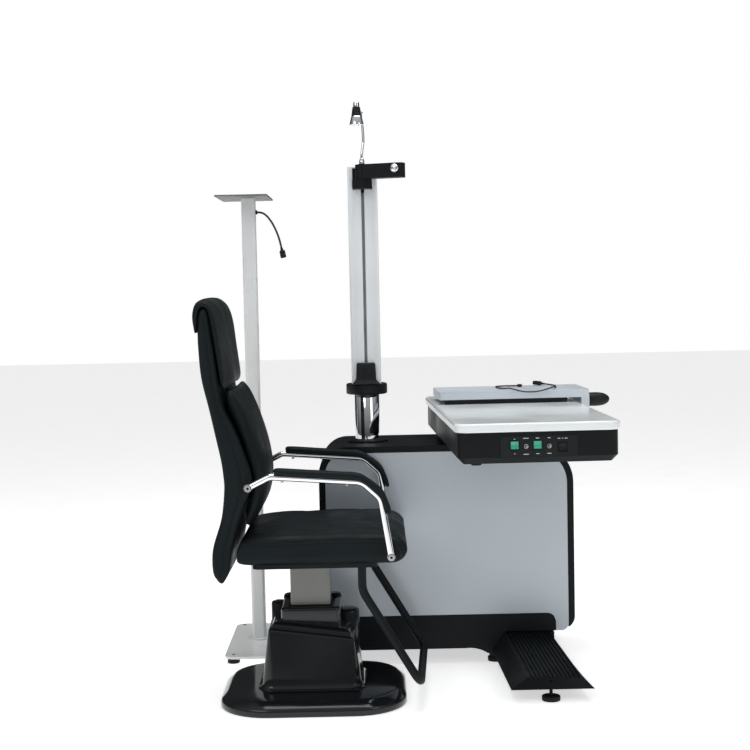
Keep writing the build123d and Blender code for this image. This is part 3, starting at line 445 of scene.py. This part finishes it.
def rounded_ring(half_u, half_v, radius, per_corner=6, per_side=1):
    """Points of a rounded rectangle about the origin, anticlockwise."""
    radius = min(radius, half_u * 0.999, half_v * 0.999)
    points = []
    corners = [(half_u - radius, half_v - radius, 0), (radius - half_u, half_v - radius, pi / 2),
               (radius - half_u, radius - half_v, pi), (half_u - radius, radius - half_v, 1.5 * pi)]
    for cu, cv, start in corners:
        for k in range(per_corner + 1):
            a = start + pi / 2 * k / per_corner
            points.append((cu + radius * cos(a), cv + radius * sin(a)))
    if per_side == 1:
        return points
    dense = []
    count = len(points)
    for i, (u, v) in enumerate(points):
        dense.append((u, v))
        if (i + 1) % (per_corner + 1) == 0:
            nu, nv = points[(i + 1) % count]
            for k in range(1, per_side):
                dense.append((u + (nu - u) * k / per_side, v + (nv - v) * k / per_side))
    return dense


def circle_ring(radius, count):
    return [(radius * cos(tau * k / count), radius * sin(tau * k / count)) for k in range(count)]


def smooth_path(points, steps):
    """Catmull-Rom points through a list of equal-length tuples."""
    out = []
    last = len(points) - 1
    for i in range(last):
        p0, p1, p2, p3 = points[max(i - 1, 0)], points[i], points[i + 1], points[min(i + 2, last)]
        for k in range(steps):
            t = k / steps
            out.append(tuple(
                0.5 * (2 * b + (c - a) * t + (2 * a - 5 * b + 4 * c - d) * t * t
                       + (3 * b - a - 3 * c + d) * t ** 3)
                for a, b, c, d in zip(p0, p1, p2, p3)))
    out.append(tuple(points[-1]))
    return out


TINY = 0.02                                  # radius at which a turned piece closes on its axis


def turned_mesh(name, profile, frame_at, count=48, closed=False, smooth=True):
    """Surface turned about an axis from (radius, height) points; frame_at maps (x, y, height)."""
    rings = []
    for radius, height in profile:
        rings.append([frame_at(u, v, height) for u, v in circle_ring(max(radius, TINY), count)])
    return mesh_from(name, rings, closed=closed, smooth=smooth)


def upright(x, y):
    """Axis frame for a piece turned about an upright axis at (x, y)."""
    return lambda u, v, h: at(x + u, y + v, h)


def tube_along(name, path, ring, turn_up=Vector((0, 0, 1))):
    """Sweep a ring of (u, v) along a path of (frame point, scale)."""
    rings = []
    points = [Vector(p) for p, _ in path]
    for i, (point, scale) in enumerate(path):
        ahead = points[min(i + 1, len(points) - 1)] - points[max(i - 1, 0)]
        ahead.normalize()
        side = ahead.cross(turn_up).normalized()
        up = side.cross(ahead)
        rings.append([Vector(point) + side * (u * scale * MM) + up * (v * scale * MM) for u, v in ring])
    return mesh_from(name, rings)


# ---------------------------------------------------------------- upholstery

def padded_loft(stations, half_width, corner, steps=5, crown=0.0, pull=0.0, recede=0.0):
    """Rings of a pad across the chair. Each station is (x inside, z inside, x outside, z outside).
    crown lifts the middle of the outside face, recede draws its side edges back like a pillow's, and
    pull draws the side faces in between their corners."""
    rings = []
    dense = smooth_path(stations, steps)
    count = len(dense)
    for i, (xi, zi, xo, zo) in enumerate(dense):
        middle = Vector(((xi + xo) / 2, 0, (zi + zo) / 2))
        across = Vector((xo - xi, 0, zo - zi))
        half = across.length / 2
        across.normalize()
        ends = min(i, count - 1 - i) / steps
        taper = 1.0 if ends >= 1 else (1 - (1 - ends) ** 2) ** 0.5
        width = half_width - (1 - taper) * corner * 0.8
        ring = []
        for u, v in rounded_ring(half * (0.35 + 0.65 * taper), width, corner, 7, 9):
            middle_share = max(0.0, 1 - (v / width) ** 2)
            outside = max(0.0, u / max(half, 1))
            lift = crown * middle_share * taper if u > 0 else 0.0
            lift -= recede * taper * outside * abs(v / width) ** 5
            point = middle + across * (u + lift)
            side = pull * max(0.0, 1 - (u / max(half, 1)) ** 2)
            y = v - side if v > width - 0.5 else (v + side if v < 0.5 - width else v)
            ring.append(at(point.x, CHAIR_Y + y, point.z))
        rings.append(ring)
    return rings


def crumple(mesh, size, amount, seed):
    """Tiny uneven swell of a fabric surface, along its normals."""
    shift = Vector((seed, seed * 1.7, 0))
    moves = [noise.noise(Vector(v.co) / size + shift) * amount for v in mesh.vertices]
    normals = [v.normal.copy() for v in mesh.vertices]
    for vertex, normal, move in zip(mesh.vertices, normals, moves):
        vertex.co += normal * move


LAST_FRAME = 20                              # length of the cloth simulation


def inflate(piece, cap, pressure=4.0, voxel=0.006):
    """Puff a closed pad with a short cloth simulation, cap each point's travel and keep the result."""
    bpy.ops.object.select_all(action="DESELECT")
    bpy.context.view_layer.objects.active = piece
    piece.select_set(True)
    remesh = piece.modifiers.new("even", "REMESH")
    remesh.mode = "VOXEL"
    remesh.voxel_size = voxel
    bpy.ops.object.modifier_apply(modifier="even")
    before = [v.co.copy() for v in piece.data.vertices]
    cloth = piece.modifiers.new("cloth", "CLOTH")
    cloth.settings.use_pressure = True
    cloth.settings.uniform_pressure_force = pressure
    cloth.settings.quality = 6
    cloth.settings.mass = 0.3
    cloth.settings.tension_stiffness = 25
    cloth.settings.compression_stiffness = 15
    cloth.settings.bending_stiffness = 1.5
    cloth.settings.effector_weights.gravity = 0
    cloth.point_cache.frame_start = 1
    cloth.point_cache.frame_end = LAST_FRAME
    for frame_number in range(1, LAST_FRAME + 1):
        bpy.context.scene.frame_set(frame_number)
    bpy.ops.object.modifier_apply(modifier="cloth")
    bpy.context.scene.frame_set(1)
    for vertex, was in zip(piece.data.vertices, before):
        move = vertex.co - was
        if move.length > cap:
            vertex.co = was + move.normalized() * cap
    for face in piece.data.polygons:
        face.use_smooth = True
    relax = piece.modifiers.new("soft", "SMOOTH")
    relax.factor = 0.5
    relax.iterations = 2
    bpy.ops.object.modifier_apply(modifier="soft")


def seam_on(name, piece, points, radius, material=None, sink=0.3):
    """Piping on the seat body that follows points pulled onto a piece's surface."""
    tree = BVHTree.FromObject(piece, bpy.context.evaluated_depsgraph_get())
    curve = bpy.data.curves.new(name, "CURVE")
    curve.dimensions = "3D"
    curve.bevel_depth = radius * MM
    curve.bevel_resolution = 3
    curve.use_fill_caps = True
    line = curve.splines.new("POLY")
    line.points.add(len(points) - 1)
    for knot, point in zip(line.points, points):
        near, normal, _, _ = tree.find_nearest(point)
        place = near + normal * (radius * sink * MM)
        knot.co = (*place, 1)
    return add_piece(name, curve, "seat", material or piping_leather())


def side_seams(name, piece, points, radius, reach=OUTSIDE_PADS, **look):
    """The same seam on both side faces of a pad, from (x, z) points held at a reach from its middle."""
    for side, word in NEAR_FAR:
        route = [at(x, CHAIR_Y + side * reach, z) for x, z in points]
        seam_on(f"{name}_{word}", piece, route, radius, **look)


def between(stations, steps, share):
    """Points at a share of the way from the inside to the outside of a pad's stations."""
    return [(xi + (xo - xi) * share, zi + (zo - zi) * share)
            for xi, zi, xo, zo in smooth_path(stations, steps)]


def upholster(mesh, node, creases, cap=None):
    """Leather pad that replaces a CAD node: puffed where a cap is given, then creased (size, swell, seed)."""
    piece = add_piece(mesh.name, mesh, "seat", leatherette(), [node])
    if cap:
        inflate(piece, cap)
    crumple(piece.data, *creases)
    return piece


SEAT_STATIONS = [
    (-402, 452, -400, 484), (-398, 439, -386, 498), (-368, 434.6, -356, 505), (-300, 434.6, -300, 510.5),
    (-200, 434.6, -200, 513), (-100, 434.6, -100, 514.5), (-20, 434.6, -20, 513), (24, 434.8, 32, 510.5),
    (54, 436, 61, 502), (72, 445, 77, 490), (83.5, 464, 85, 475)]
SEAT_WELT = [(-380, 488), (-330, 496), (-200, 501), (-60, 503), (34, 499), (60, 489)]
SEAT_NOSE_SEAM = [(46, 497), (58, 474), (64, 455), (62, 440)]


def seat_cushion():
    """Seat: flat below, crowned on top, rolled nose, welt around the side and a sewn nose panel."""
    rings = padded_loft(SEAT_STATIONS, 254, 24, crown=3.0, pull=1.5, steps=6)
    mesh = mesh_from("seat_cushion_soft", rings)
    piece = upholster(mesh, "seat_cushion", (0.11, 0.0016, 3.0), cap=0.004)
    side_seams("seat_welt", piece, smooth_path(SEAT_WELT, 8), 1.7)
    side_seams("seat_nose_seam", piece, smooth_path(SEAT_NOSE_SEAM, 6), 1.0, material=seam_shadow(), sink=0.1)
    front = [at(98, CHAIR_Y + y, 497) for y in range(-236, 237, 24)]
    seam_on("seat_welt_front", piece, front, 1.7)


SHELL_STATIONS = [
    (-450, 386, -436, 383.5), (-464, 410, -422, 413), (-467.5, 447, -415.5, 452), (-462, 493, -405, 502),
    (-438, 570, -382.5, 582), (-428.5, 645, -354.5, 650), (-430.5, 690, -353, 690), (-436.5, 737, -367, 738),
    (-451, 810, -393, 810), (-466.5, 885, -427, 885), (-483.5, 965, -438.5, 962), (-490, 1045, -448.5, 1045),
    (-490, 1095, -455.5, 1098), (-486, 1130, -461, 1134), (-480, 1154, -466, 1156)]


def back_shell():
    """Backrest shell: two leather panels joined by a stitched seam around the edge."""
    rings = padded_loft(SHELL_STATIONS, 249, 15, crown=1.0)
    piece = upholster(mesh_from("back_shell_soft", rings), "back_shell", (0.09, 0.0012, 7.0))
    side_seams("shell_seam", piece, between(SHELL_STATIONS[1:-1], 5, 0.62), 1.5, sink=0.35)


CUSHION_STATIONS = [
    (-376, 540, -366, 534), (-375, 562, -353, 558), (-362, 605, -331, 606), (-345.5, 655, -322, 652),
    (-345, 690, -322, 690), (-362, 745, -332, 745), (-385, 812, -350, 808), (-404, 855, -366, 856),
    (-420, 893, -385, 899), (-426, 921, -404, 931)]


def back_cushion():
    """Backrest cushion: rolled sides, piping between the front panel and the side bands."""
    rings = padded_loft(CUSHION_STATIONS, 225, 34, crown=5.0, steps=6, recede=13.0)
    mesh = mesh_from("back_cushion_soft", rings)
    piece = upholster(mesh, "back_cushion", (0.12, 0.002, 11.0), cap=0.005)
    side_seams("back_piping", piece, between(CUSHION_STATIONS[1:], 6, 0.30), 1.9, reach=236)


HEAD_STATIONS = [
    (-427, 936, -417, 930), (-432, 955, -411.5, 950), (-438, 1003, -416, 1000), (-444.5, 1050, -421.5, 1045),
    (-452.5, 1103, -428, 1103), (-458, 1135, -436.5, 1142), (-464, 1154, -451, 1168),
    (-474, 1160, -475, 1182.5), (-483, 1153, -501, 1170.5), (-488, 1134, -511, 1140),
    (-490.5, 1108, -509.5, 1108), (-493, 1090, -502, 1086)]


def headrest():
    """Headrest: one pad folded over the shell's top, with a sewn line round its side roll."""
    rings = padded_loft(HEAD_STATIONS, 245, 19, crown=2.0, steps=6, recede=11.0)
    piece = upholster(mesh_from("headrest_soft", rings), "headrest_cushion", (0.10, 0.0016, 17.0))
    side_seams("headrest_piping", piece, between(HEAD_STATIONS[1:8], 6, 0.60), 1.6, reach=256)


PAD_LINE = [
    (-286, 702), (-276, 702.6), (-240, 700), (-160, 694), (-90, 689), (-66, 687), (-48, 682.5), (-28, 670),
    (-4, 652.5), (10, 637.5), (19, 618), (27, 597), (34, 578)]


def armrest_pad(side, word):
    """Soft pad over the armrest tube, thin at its ends."""
    y = CHAIR_Y + side * ARMREST_REACH
    path = []
    dense = smooth_path(PAD_LINE, 5)
    for i, (x, z) in enumerate(dense):
        ends = min(i, len(dense) - 1 - i) / 8
        scale = 1.0 if ends >= 1 else 0.25 + 0.75 * (1 - (1 - ends) ** 2) ** 0.5
        path.append((at(x, y, z), scale))
    mesh = tube_along(f"armrest_pad_{word}", path, rounded_ring(22.5, 8, 7, 6, 3))
    upholster(mesh, "armrest_pads", (0.05, 0.0008, 23.0 + side))


def armrest_bolt_face(side, word, place, x, z):
    """Dark washer round an armrest bolt's head, and the socket in its face."""
    face = CHAIR_Y + side * (ARMREST_REACH + 9)

    def axis(u, v, h):
        return at(x + u, face + side * h, z + v)
    washer = [(8.1, 0.0), (9.7, 0.0), (9.7, 0.9), (8.1, 1.2)]
    name = f"armrest_washer_{place}_{word}"
    add_piece(name, turned_mesh(name, washer, axis, 40, closed=True, smooth=False), "seat", matt_black())
    name = f"armrest_socket_{place}_{word}"
    hexagon = turned_mesh(name, [(4.4, 4.9), (4.4, 5.2)], axis, 6, smooth=False)
    add_piece(name, hexagon, "seat", matt_black())


# ---------------------------------------------------------------- chair base

def plan_ring(x0, x1, half_y, corner, z, inset):
    """Level rounded rectangle about the chair's middle plane, drawn in by inset."""
    ring = rounded_ring((x1 - x0) / 2 - inset, half_y - inset, max(corner - inset, 4), 10, 6)
    return [at((x0 + x1) / 2 + u, CHAIR_Y + v, z) for u, v in ring]


def base_plate():
    """Floor plate: upright rim, bright bevel, and a deck that rises gently towards the housing."""
    steps = [(0.4, 3), (3, 0), (17, 0), (21, 1.5), (24, 4), (38, 22), (40, 26), (42, 34), (43.5, 60),
             (44.5, 100)]
    rings = [plan_ring(-468, 74, 246, 150, z, inset) for z, inset in steps]
    add_piece("base_plate_moulding", mesh_from("base_plate_moulding", rings), "stand", gloss_black(),
              ["chair_base_plate"])


COVER_FALL = 0.13                            # slope of the cover's shoulder towards the right


def sloped(ring, share):
    """Lower a ring of the cover towards the right, fully at share 1 and not at all at share 0."""
    fall = COVER_FALL * min(1.0, max(0.0, share))
    left = at(-330, 0, 0).x
    return [p - Vector((0, 0, max(0.0, p.x - left) * fall)) for p in ring]


def lift_cover():
    """Two-storey gloss cover: flared foot, lip below the shoulder, shoulder deck and collar."""
    steps = [(z, inset, 34) for z, inset in ((44.6, -12), (47, -9), (52, -3), (60, 0))]
    for k in range(1, 9):
        share = k / 8
        steps.append((60 + 152 * share, 20 * share, 34 - 4 * share))
    steps += [(215, 20.5, 30), (219, 22.5, 29), (221, 26, 28), (221.5, 31, 26), (223, 32, 26),
              (229, 31.5, 26), (233, 33, 25), (237, 37, 23), (240, 43, 21), (241.5, 50, 19)]
    rings = [sloped(plan_ring(-347, -55, 121, corner, z, inset), (z - 60) / 150)
             for z, inset, corner in steps]
    rings.append(sloped(plan_ring(-289, -115, 86, 18, 242, 1), 1.0))
    rings += [plan_ring(-289, -115, 86, 18, z, inset) for z, inset in
              ((250, 0), (268, 0), (274, 1), (277, 3.5), (278, 7), (278, 16))]
    rings += [plan_ring(-264, -142, 61, 8, z, 0) for z in (277.5, 262)]
    add_piece("lift_cover", mesh_from("lift_cover", rings, open_top=True), "stand", gloss_black(),
              ["chair_lift_housing"])


def rear_shoe():
    """Two bosses and a hood that cover the rear of the lift housing."""
    for name, x, y, radius, top in (("cover_boss_right", -98, -233, 36, 240),
                                    ("cover_boss_left", -303, -240, 24, 268)):
        profile = [(radius + 6, 60), (radius + 1, 120), (radius, top - 8), (radius - 2.5, top - 2.5),
                   (radius - 8, top), (0, top)]
        add_piece(name, turned_mesh(name, profile, upright(x, y)), "stand", gloss_black())
    rear = [[at(-202.5 + u, -222 + v, z) for u, v in rounded_ring(88 - inset, 24 - inset, 18, 8, 3)]
            for z, inset in ((60, 0), (276, 0), (282, 2), (285, 6), (285.5, 12))]
    add_piece("cover_rear_hood", mesh_from("cover_rear_hood", rear), "stand", gloss_black())


def column_foot_gasket():
    """Black wiper around the moving column where it enters the cover."""
    inner, outer = 58.6, 63.5
    rings = []
    for half, z in ((inner, 274), (outer, 274), (outer, 280), (inner + 1, 281), (inner, 279)):
        rings.append([at(LIFT_X + u, CHAIR_Y + v, z) for u, v in rounded_ring(half, half, 8, 6)])
    add_piece("column_wiper", mesh_from("column_wiper", rings, closed=True), "stand", rubber())


# ---------------------------------------------------------------- mast and lamp

def pole_and_flange():
    """Chromed pole with a black flange ring on the cabinet top."""
    axis = upright(POLE_AXIS.x, POLE_AXIS.y)
    pole = [(40, 600), (40, 700), (40, 856.2), (39.6, 856.8), (38, 857)]
    add_piece("chromed_pole", turned_mesh("chromed_pole", pole, axis, 96), "stand", chrome(), ["mast_pole"])
    flange = [(40.4, 701.2), (66, 701.2), (66, 705), (64.5, 707), (60, 708.5), (46, 709.5), (43, 711),
              (40.4, 711.5)]
    flange_mesh = turned_mesh("pole_flange", flange, axis, 96, closed=True)
    add_piece("pole_flange", flange_mesh, "stand", satin_black())


def mast_foot():
    """Bearing ring with a rolled lip, and the flared foot cover that grips the extrusion."""
    axis = upright(POLE_AXIS.x, POLE_AXIS.y)
    profile = [(30, 858), (62, 857.4), (66, 859), (67, 862), (67, 886), (66, 890), (63, 891.8), (58, 891.6),
               (0, 891.6)]
    add_piece("bearing_ring", turned_mesh("bearing_ring", profile, axis, 96), "mast", matt_black(),
              ["mast_collar"])
    steps = [(891.6, 46, 30, 8), (896, 42, 28, 8), (901, 37, 25.5, 8), (906, 33.5, 23.5, 8),
             (912, 32, 22.5, 8), (955, 30.5, 22, 7), (959, 29, 20.5, 6), (961, 26, 18, 5)]
    front = 136
    rings = []
    for z, half, reach, corner in steps:
        outline = rounded_ring(half, reach, corner, 6, 3)
        rings.append([at(POLE_AXIS.x - 1 + u, front - 0.3 + min(v, 0.0), z) for u, v in outline])
    piece = add_piece("foot_cover", mesh_from("foot_cover", rings), "mast", matt_black())
    round_edges(piece, 0.8 * MM, 2)
    mark = [[at(-30 + u, front - 22.8 - d, 940 + v) for u, v in rounded_ring(9, 1.1, 1, 4)] for d in (0, 0.5)]
    add_piece("foot_cover_rib", mesh_from("foot_cover_rib", mark), "mast", satin_black())


def slot_liner():
    """Pale liner inside the extrusion, seen through the slot, clear of the slider and the balance weight."""
    rings = [[at(POLE_AXIS.x + u, 170 + v, z) for u, v in rounded_ring(35, 1, 0.8, 3)] for z in (962, 1588)]
    liner = mesh_from("slot_liner", rings, smooth=False)
    add_piece("slot_liner", liner, "mast", anodised())


def carriage_plate():
    """Oval badge plate on the carriage's side, below the arm's sweep."""
    outline = rounded_ring(6, 12, 6, 8)
    rings = []
    for offset, scale in ((0, 1.0), (0.8, 1.0), (1.4, 0.9)):
        rings.append([at(-60.2 - offset, 112 + u * scale, 1535.5 + v * scale) for u, v in outline])
    add_piece("carriage_side_plate", mesh_from("carriage_side_plate", rings), "carriage", steel())


def clamp_knob():
    """Clamp knob: scalloped rim, dished face and a raised screw head."""
    axis_u = (on_arm(1, 0, 0) - on_arm(0, 0, 0)).normalized()
    axis_n = (on_arm(0, -1, 0) - on_arm(0, 0, 0)).normalized()
    centre = on_arm(120, -22.3, 1579)
    up = Vector((0, 0, 1))
    rings = []
    for height, radius, lobes in ((0, 11, 0), (1, 13, 0.6), (3, 13.4, 0.8), (9, 13.4, 0.8), (11, 12.8, 0.5),
                                  (12.4, 11, 0), (12.6, 8, 0), (11.4, 6.5, 0), (11.4, 4.2, 0), (13.2, 4, 0),
                                  (13.4, 3.2, 0)):
        ring = []
        for k in range(96):
            a = tau * k / 96
            r = (radius - lobes * (0.5 + 0.5 * cos(16 * a))) * MM
            ring.append(centre + axis_n * (height * MM) + axis_u * (r * cos(a)) + up * (r * sin(a)))
        rings.append(ring)
    add_piece("clamp_knob_turned", mesh_from("clamp_knob_turned", rings), "knob", chrome(), ["arm_lock_knob"])


NECK_LINE = [(-28, 104, 1600), (-28, 104, 1622), (-26.5, 104.8, 1640), (-22.5, 108, 1668), (-22.3, 116, 1694),
             (-24.5, 122.5, 1726), (-28, 126, 1748), (-28, 126, 1765)]


def lamp_neck():
    """Finely ribbed neck, with a turned ferrule at its foot and the tilt pin at its head."""
    points = smooth_path(NECK_LINE, 40)
    path = []
    for i, point in enumerate(points):
        share = i / len(points)
        wave = 0.93 + 0.07 * cos(i * pi)
        path.append((at(*point), wave * (1.0 if share < 0.97 else 0.9)))
    mesh = tube_along("lamp_neck_wound", path, circle_ring(4.2, 20), Vector((0, 1, 0.01)))
    add_piece("lamp_neck_wound", mesh, "neck", chrome(), ["lamp_gooseneck"])
    ferrule = [(5.2, 1599.4), (8, 1599.4), (8.4, 1601), (8.4, 1609), (7.4, 1611), (6.2, 1615), (5.2, 1618),
               (4.4, 1618)]
    add_piece("neck_ferrule", turned_mesh("neck_ferrule", ferrule, upright(-28, 104), 40), "neck", chrome())
    pin = [(2.0, -51.4), (2.9, -51), (2.9, -25), (4.6, -24.4), (4.6, -22.2), (3.8, -21.8)]

    def across(u, v, x):
        return at(x, 126 + u, 1765 + v)
    add_piece("tilt_pin", turned_mesh("tilt_pin", pin, across, 24), "neck", steel())


def lamp_body():
    """Spot lamp: hollow chromed bell with a rolled lip, ribbed holder, chromed cap and pivot lug."""
    axis = upright(*LAMP_AXIS)
    bell = [(21.2, 1723), (22.2, 1722.2), (22.5, 1724), (21.6, 1729), (19.6, 1738), (17.4, 1746),
            (15.6, 1751.5), (12, 1752), (12, 1751), (14.6, 1749), (16.6, 1744), (18.8, 1736), (20.4, 1728)]
    add_piece("lamp_bell", turned_mesh("lamp_bell", bell, axis, 72, closed=True), "lamp", chrome(),
              ["lamp_shade"])
    holder = [(8, 1751.6), (16, 1752), (16.2, 1753), (15.9, 1754.2)]
    height, radius = 1755.0, 15.6
    for _ in range(9):
        holder += [(radius, height), (radius + 0.1, height + 1.4), (radius - 0.8, height + 1.7),
                   (radius - 0.9, height + 2.3)]
        height += 2.6
        radius -= 0.36
    holder += [(12.3, 1778.6), (11.6, 1779.4), (9, 1779.6)]
    add_piece("lamp_holder", turned_mesh("lamp_holder", holder, axis, 60), "lamp", matt_black(),
              ["lamp_head"])
    cap = [(9.6, 1779.2), (9.8, 1781), (9.6, 1789), (8.8, 1793), (6.8, 1795.8), (4, 1796.8), (0, 1796.9)]
    add_piece("lamp_cap", turned_mesh("lamp_cap", cap, axis, 48), "lamp", chrome())
    lug = [(106, 3.6, 5.0), (118, 3.6, 5.4), (122, 3.8, 6.0), (130, 3.8, 6.0), (132, 3.0, 4.6)]
    rings = []
    for y, half_x, half_z in lug:
        rings.append([at(LAMP_AXIS[0] + u, y, 1765 + v) for u, v in rounded_ring(half_x, half_z, 1.6, 4)])
    add_piece("lamp_lug", mesh_from("lamp_lug", rings), "lamp", matt_black())


# ---------------------------------------------------------------- table

def legends():
    """Small generic marks above and below the switches."""
    marks = [(-67.5, 781, 2), (-36, 783, 8), (-4, 783, 5), (28, 783, 4), (55, 781, 4), (65, 781, 2),
             (75, 781, 4), (-67.5, 741, 2), (-36, 739, 8), (-4, 740, 5), (28, 740, 6)]
    for number, (x, z, half) in enumerate(marks):
        bar = rounded_ring(half, 1.1, 0.8, 2)
        rings = [[on_table(x + u, TABLE_FACE_Y - depth, z + v) for u, v in bar] for depth in (2.05, 2.2)]
        name = f"panel_mark_{number:02d}"
        add_piece(name, mesh_from(name, rings), "table", legend_paint())


def rocker_bezels():
    """Raised frame around each rocker, and a collar nut round each toggle."""
    for number, (x, z) in enumerate(((-67.5, 764), (-4, 764), (65.5, 757))):
        rings = []
        for half, depth in ((11.6, 2), (13.4, 2), (13.4, 3.2), (12.6, 3.8), (11.6, 3.4)):
            square = rounded_ring(half, half, 1.5, 4)
            rings.append([on_table(x + u, TABLE_FACE_Y - depth, z + v) for u, v in square])
        name = f"rocker_bezel_{number}"
        add_piece(name, mesh_from(name, rings, closed=True), "table", satin_black())
    for number, x in enumerate((-36, 28)):
        nut = [(4.6, 5), (6.2, 5), (6.4, 5.6), (6.0, 6.4), (4.6, 6.4)]
        name = f"toggle_nut_{number}"

        def axis(u, v, depth):
            return on_table(x + u, TABLE_FACE_Y - depth, 761 + v)
        add_piece(name, turned_mesh(name, nut, axis, 30, closed=True), "table", steel())


def platform_grip():
    """Bullet-shaped grip that narrows towards the platform."""
    profile = [(18.6, 0.3), (19.4, 0.8), (20, 3), (21.4, 8), (22.3, 16), (22.6, 28), (22.2, 40), (20.6, 53),
               (17.4, 63), (12.8, 71), (7, 76), (3, 77.6), (0, 77.9)]

    def axis(u, v, h):
        return on_table(266 + h, u - 70, 828 + v)
    add_piece("platform_grip", turned_mesh("platform_grip", profile, axis, 64), "platform", matt_black(),
              ["platform_handle"])


TABLE_CORD = [
    (60, 35, 870.5), (40, 35, 870.5), (12, 59, 869), (-12, 41, 869), (-16, -5, 869), (-10, -55, 869.5),
    (0, -97, 871.5), (12, -125, 874.5), (30, -146, 869), (62, -150, 862), (100, -148, 863),
    (132, -142, 870.5), (152, -117, 874), (166, -77, 870), (176, -31, 869), (182, 17, 869), (174, 55, 870),
    (156, 65, 872)]
STAND_CORD = [(-381, 290, 1462), (-366, 290, 1462), (-348, 291, 1449), (-331, 294, 1424), (-318, 296, 1395),
              (-309, 296, 1368), (-305, 296, 1348)]


def cord_piece(name, points, diameter, body, node):
    """Round cord on one smooth NURBS line through its route's control points."""
    curve = bpy.data.curves.new(name, "CURVE")
    curve.dimensions = "3D"
    curve.bevel_depth = diameter / 2
    curve.bevel_resolution = 5
    curve.resolution_u = 16
    spline = curve.splines.new("NURBS")
    spline.points.add(len(points) - 1)
    for knot, point in zip(spline.points, points):
        knot.co = (*point, 1)
    spline.order_u = 3
    spline.use_endpoint_u = True
    return add_piece(name, curve, body, cord_rubber(), [node])


def plug_on(name, points, body, node, sizes, tail_length):
    """Moulded plug at a cord's end: ribbed tapered tail, then a body of (length, half_u, half_v, corner)."""
    end, before = points[-1], points[-2]
    out = (end - before).normalized()
    side = out.cross(Vector((0, 0, 1))).normalized()
    up = side.cross(out)
    rings = []
    ribs = 6
    thin = 2.9
    thick = min(sizes[0][1], sizes[0][2]) * 0.75
    for k in range(ribs * 2 + 1):
        share = k / (ribs * 2)
        radius = thin + (thick - thin) * share - (0.5 if k % 2 else 0.0)
        rings.append([end + out * (tail_length * share * MM) + side * (u * MM) + up * (v * MM)
                      for u, v in rounded_ring(radius, radius, radius, 6)])
    for length, half_u, half_v, corner in sizes:
        rings.append([end + out * ((tail_length + length) * MM) + side * (u * MM) + up * (v * MM)
                      for u, v in rounded_ring(half_u, half_v, corner, 6)])
    return add_piece(name, mesh_from(name, rings), body, matt_black(), [node])


def make_cords():
    """Platform lead with its plug, and the projector lead with its connector."""
    table_points = [on_table(*p) for p in TABLE_CORD]
    lead = cord_piece("platform_lead", table_points, 0.0045, "platform", "platform_cord")
    plug = plug_on("platform_lead_plug", table_points, "platform", "platform_plug",
                   [(0.5, 8.6, 5.8, 3), (2, 9, 6.4, 3), (22, 9, 6.4, 3), (26, 8.4, 6, 3),
                    (27, 7.4, 5, 2.5)], 14)
    stand_points = [at(*p) for p in STAND_CORD]
    drop = cord_piece("projector_lead", stand_points, 0.007, "stand", "pole_cord")
    barrel = plug_on("projector_lead_connector", stand_points, "stand", "pole_connector",
                     [(length, radius, radius, radius) for length, radius in
                      ((0.5, 8), (2, 9.4), (10, 9.8), (10.6, 9), (12, 9), (12.6, 9.8), (23, 9.8), (25, 8.6),
                       (25.6, 6))], 14)


# ---------------------------------------------------------------- build

make_camera()
make_studio()
paint_nodes()
make_cords()
seat_cushion()
back_shell()
back_cushion()
headrest()
for pad_side, pad_word in NEAR_FAR:
    armrest_pad(pad_side, pad_word)
    armrest_bolt_face(pad_side, pad_word, "back", -358, 658)
    armrest_bolt_face(pad_side, pad_word, "front", 35, 458)
base_plate()
lift_cover()
rear_shoe()
column_foot_gasket()
pole_and_flange()
mast_foot()
slot_liner()
carriage_plate()
clamp_knob()
lamp_neck()
lamp_body()
legends()
rocker_bezels()
platform_grip()
